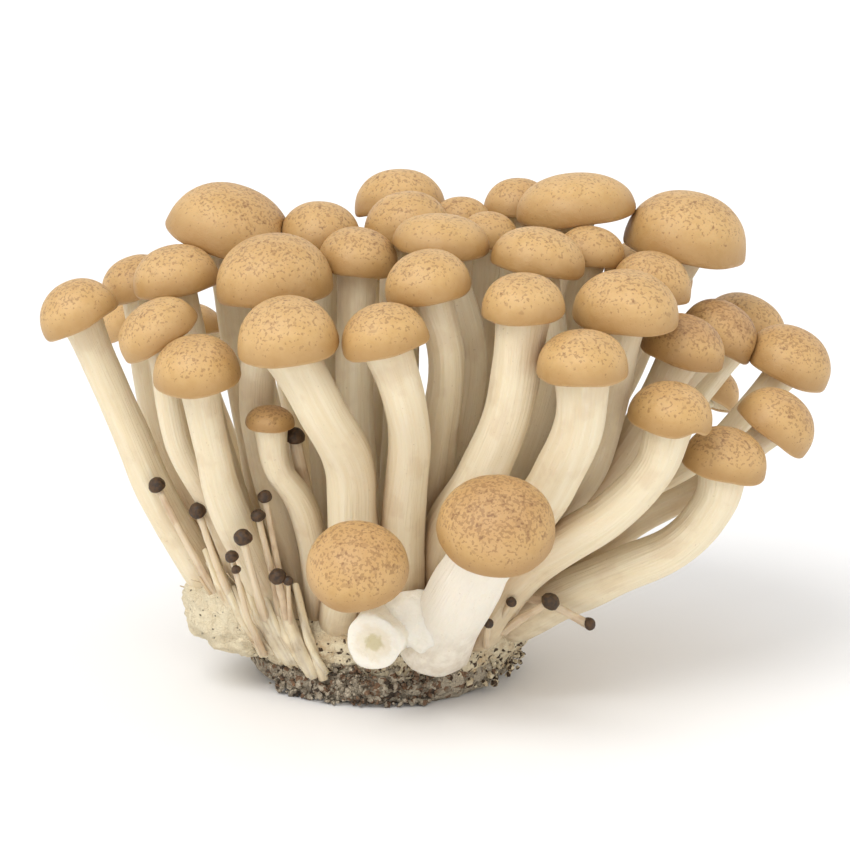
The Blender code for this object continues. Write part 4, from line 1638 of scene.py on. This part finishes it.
@dataclass
class Base:
    """The root mass, the plate of substrate under it, their crumbs, and the pale threads at the left.

    Args:
        root: The root mass.
        bulge: The bulge of mycelium at its left.
        plate: The plate of substrate.
        strands: How many thin stems never grew.
        strand_radii: The thinnest and the thickest of them.
        fibres: How many threads stand out from the mycelium.
        fibre_radii: The thinnest and the thickest of them.
    """

    root: Block
    bulge: Block
    plate: Block
    strands: int = 18
    strand_radii: tuple[float, float] = (0.55, 1.15)
    fibres: int = 110
    fibre_radii: tuple[float, float] = (0.10, 0.24)

    def build(self, mycelium: Material, soil: Material, thread: Material) -> None:
        """Grows and dresses every piece of the base.

        Args:
            mycelium: The finish of the root mass.
            soil: The finish of the plate and of the crumbs.
            thread: The finish of the threads.
        """
        dress(self.root.build("root_mass_felt", mycelium, 0.6), Slot.ROOT, "root_mass")
        dress(self.bulge.build("mycelium_bulge", mycelium, 3.0), Slot.ROOT)
        dress(self.plate.build("substrate_plate_crust", soil, 0.0), Slot.SUBSTRATE, "substrate_plate")
        crumbs = Scatter(560, (0.25, 0.9), (-148, -68), (0.4, 7.0), (23.4, 22.0), 3)
        crumbs.build("substrate_crumbs", soil, Slot.SUBSTRATE)
        flakes = Scatter(230, (0.25, 0.9), (-66, 20), (1.5, 11), (23.6, 21.0), 8)
        flakes.build("mycelium_flakes", mycelium, Slot.ROOT)
        self._threads(thread)

    def _threads(self, finish: Material) -> None:
        """The fan of thin pale stems and threads that never grew, at the left front.

        Args:
            finish: The material of the threads.
        """
        skin = Skin()
        dice = np.random.default_rng(12)
        for n in range(self.strands):
            share = n / (self.strands - 1)
            right = -9.5 - 13.5 * share + dice.uniform(-0.6, 0.6)
            front = -22.0 * math.sqrt(1 - (right / 29) ** 2)
            foot = Vector((right, front, 5.0 + 4.0 * share + dice.uniform(-0.8, 0.8)))
            top = foot + Vector((-4.5 - 4.0 * share, 2.0 + dice.uniform(-0.5, 0.5), dice.uniform(10, 17)))
            middle = (foot + top) / 2 + Vector((-0.6, -1.6, 0.0)) * dice.uniform(0.6, 1.2)
            thick = dice.uniform(*self.strand_radii)
            Strand((tuple(foot), tuple(middle), tuple(top)), (thick, thick * 0.9, thick * 0.6)).grow(skin, n)
        for n in range(self.fibres):
            turn = math.radians(dice.uniform(-205, -125))
            low = Vector((-2.5 + 27.5 * math.cos(turn), 20.0 * math.sin(turn), dice.uniform(7, 18)))
            away = Vector((math.cos(turn) * 1.2, math.sin(turn), dice.uniform(0.4, 1.6)))
            away *= dice.uniform(1.2, 3.2)
            side = Vector(dice.normal(size=3)) * 0.8
            thick = dice.uniform(*self.fibre_radii)
            points = (tuple(low), tuple(low + away * 0.6 + side), tuple(low + away + side * 1.6))
            Strand(points, (thick, thick, thick * 0.5), 5, 7).grow(skin, n)
        dress(skin.piece("pale_threads", [finish], {"seed": 0.7, "tone": 0.0}), Slot.ROOT)


@dataclass
class Studio:
    """A plain pale floor, soft light and the camera.

    Args:
        camera: Where the camera is, in metres.
        pitch: How far it looks down, in degrees.
        lens: Its focal length, in millimetres, on a 36 mm sensor.
        floor_size: The floor's side, in metres.
        floor: The floor's colour.
        sky: How bright the sky is.
        key: Where the main light comes from.
        key_power: Its strength, in watts for each square metre.
        key_spread: How wide it looks, in degrees.
        fill: Where the fill light is, in metres.
        fill_power: Its strength, in watts.
        fill_size: Its side, in metres.
    """

    AIM = (0, 0, 0.04)  # the middle of the cluster, in metres

    camera: Point = (0.0068, -0.585, 0.190)
    pitch: float = 14.07
    lens: float = 150.0
    floor_size: float = 8.0
    floor: Colour = (0.93, 0.925, 0.92)
    sky: float = 0.90
    key: Point = (-0.40, -0.52, 0.85)
    key_power: float = 1.40
    key_spread: float = 38.0
    fill: Point = (0.55, -0.70, 0.45)
    fill_power: float = 0.6
    fill_size: float = 0.8

    def build(self) -> None:
        """Sets up the floor, the lights and the camera."""
        self._floor()
        world = bpy.data.worlds.new("soft_sky")
        world.use_nodes = True
        back = world.node_tree.nodes["Background"]
        back.inputs["Color"].default_value = (1.0, 1.0, 1.0, 1.0)
        back.inputs["Strength"].default_value = self.sky
        bpy.context.scene.world = world
        self._light("key", "SUN", self.key, self.key_power).angle = math.radians(self.key_spread)
        self._light("fill", "AREA", self.fill, self.fill_power).size = self.fill_size
        eye = bpy.data.cameras.new("camera")
        eye.lens = self.lens
        eye.sensor_width = 36.0
        eye.clip_start = 0.01
        stand = bpy.data.objects.new("camera", eye)
        stand.location = self.camera
        stand.rotation_euler = (math.radians(90 - self.pitch), 0, 0)
        bpy.context.scene.collection.objects.link(stand)
        bpy.context.scene.camera = stand
        bpy.context.scene.view_settings.view_transform = "Standard"

    def _floor(self) -> None:
        """A wide floor with faint variation, so that it isn't one flat colour."""
        skin = bmesh.new()
        bmesh.ops.create_grid(skin, x_segments=8, y_segments=8, size=self.floor_size / 2)
        mesh = bpy.data.meshes.new("floor")
        skin.to_mesh(mesh)
        skin.free()
        floor = bpy.data.objects.new("floor", mesh)
        bpy.context.scene.collection.objects.link(floor)
        material, g, shader = shaded("pale_floor")
        cloud = g.add("ShaderNodeTexNoise", {"Vector": g.place(), "Scale": 9.0, "Detail": 2.0})
        dim = tuple(c * 0.99 for c in self.floor)
        g.feed(shader, "Base Color", g.blend(cloud.outputs[0], self.floor, dim))
        shader.inputs["Roughness"].default_value = 0.75
        mesh.materials.append(material)

    @staticmethod
    def _light(name: str, kind: str, place: tuple[float, float, float], power: float) -> bpy.types.Light:
        """A light that faces the cluster.

        Args:
            name: Its name.
            kind: Its type.
            place: Where it is, in metres.
            power: Its strength, in watts, or in watts for each square metre if it's a sun.

        Returns:
            The light, so that its size can be set.
        """
        lamp = bpy.data.lights.new(name, kind)
        lamp.energy = power
        stand = bpy.data.objects.new(name, lamp)
        stand.location = place
        aim = Vector(Studio.AIM) - stand.location
        stand.rotation_euler = aim.to_track_quat("-Z", "Y").to_euler()
        bpy.context.scene.collection.objects.link(stand)
        return lamp


def main() -> None:
    """Builds the cluster and its setting."""
    logging.basicConfig(level=logging.INFO, format="%(message)s")
    patterns = Patterns()
    stem = StemFlesh().material(patterns)
    gills = GillFlesh().material(patterns)
    cap = CapSkin().material(patterns)
    grower = Grower()
    Cluster(grower).build([stem, gills, cap])
    thin = StemFlesh("thin_pin_stem", (0.62, 0.47, 0.31), (0.80, 0.68, 0.50), (0.40, 0.25, 0.14), stained=0.6)
    Sprouts(grower).build([thin.material(patterns), gills, PinHead().material(patterns)])
    CutStub().build(CutFlesh().material(patterns))
    threads = StemFlesh(
        "pale_thread_flesh", (0.72, 0.58, 0.38), (0.86, 0.75, 0.55), (0.42, 0.27, 0.14), stained=0.8
    )
    root = Block(
        (
            (2.2, 21.0, 19.0, 0.5), (5.0, 23.6, 20.3, 0), (7.5, 26.8, 20.8, -1.0),
            (10.5, 28.6, 20.8, -1.2), (13.5, 26.5, 18.0, -0.8),
        ),
        150, 34, ((7.0, 0.9), (2.6, 0.8), (1.1, 0.45)), 0.3,
    )
    bulge = Block(
        (
            (6.5, 4.0, 8.0, -22.5), (8.5, 7.5, 11.0, -24.5), (12.0, 8.6, 12.0, -25.5),
            (16.0, 7.6, 11.0, -26.5), (19.0, 4.5, 8.0, -27.0),
        ),
        110, 30, ((5.0, 1.3), (2.2, 0.9), (0.9, 0.5)), 1.7, -5.0,
    )
    plate = Block(
        ((0, 18.8, 19.5, 0.2), (0.7, 20.8, 20.8, -0.2), (3.0, 23.0, 21.6, -0.6), (5.0, 23.3, 21.0, -0.9)),
        150, 16, ((5.0, 0.6), (1.8, 0.7), (0.8, 0.35)), 0.8,
    )
    mycelium, soil = Mycelium().material(patterns), Substrate().material(patterns)
    Base(root, bulge, plate).build(mycelium, soil, threads.material(patterns))
    Studio().build()


if __name__ == "__main__":
    main()
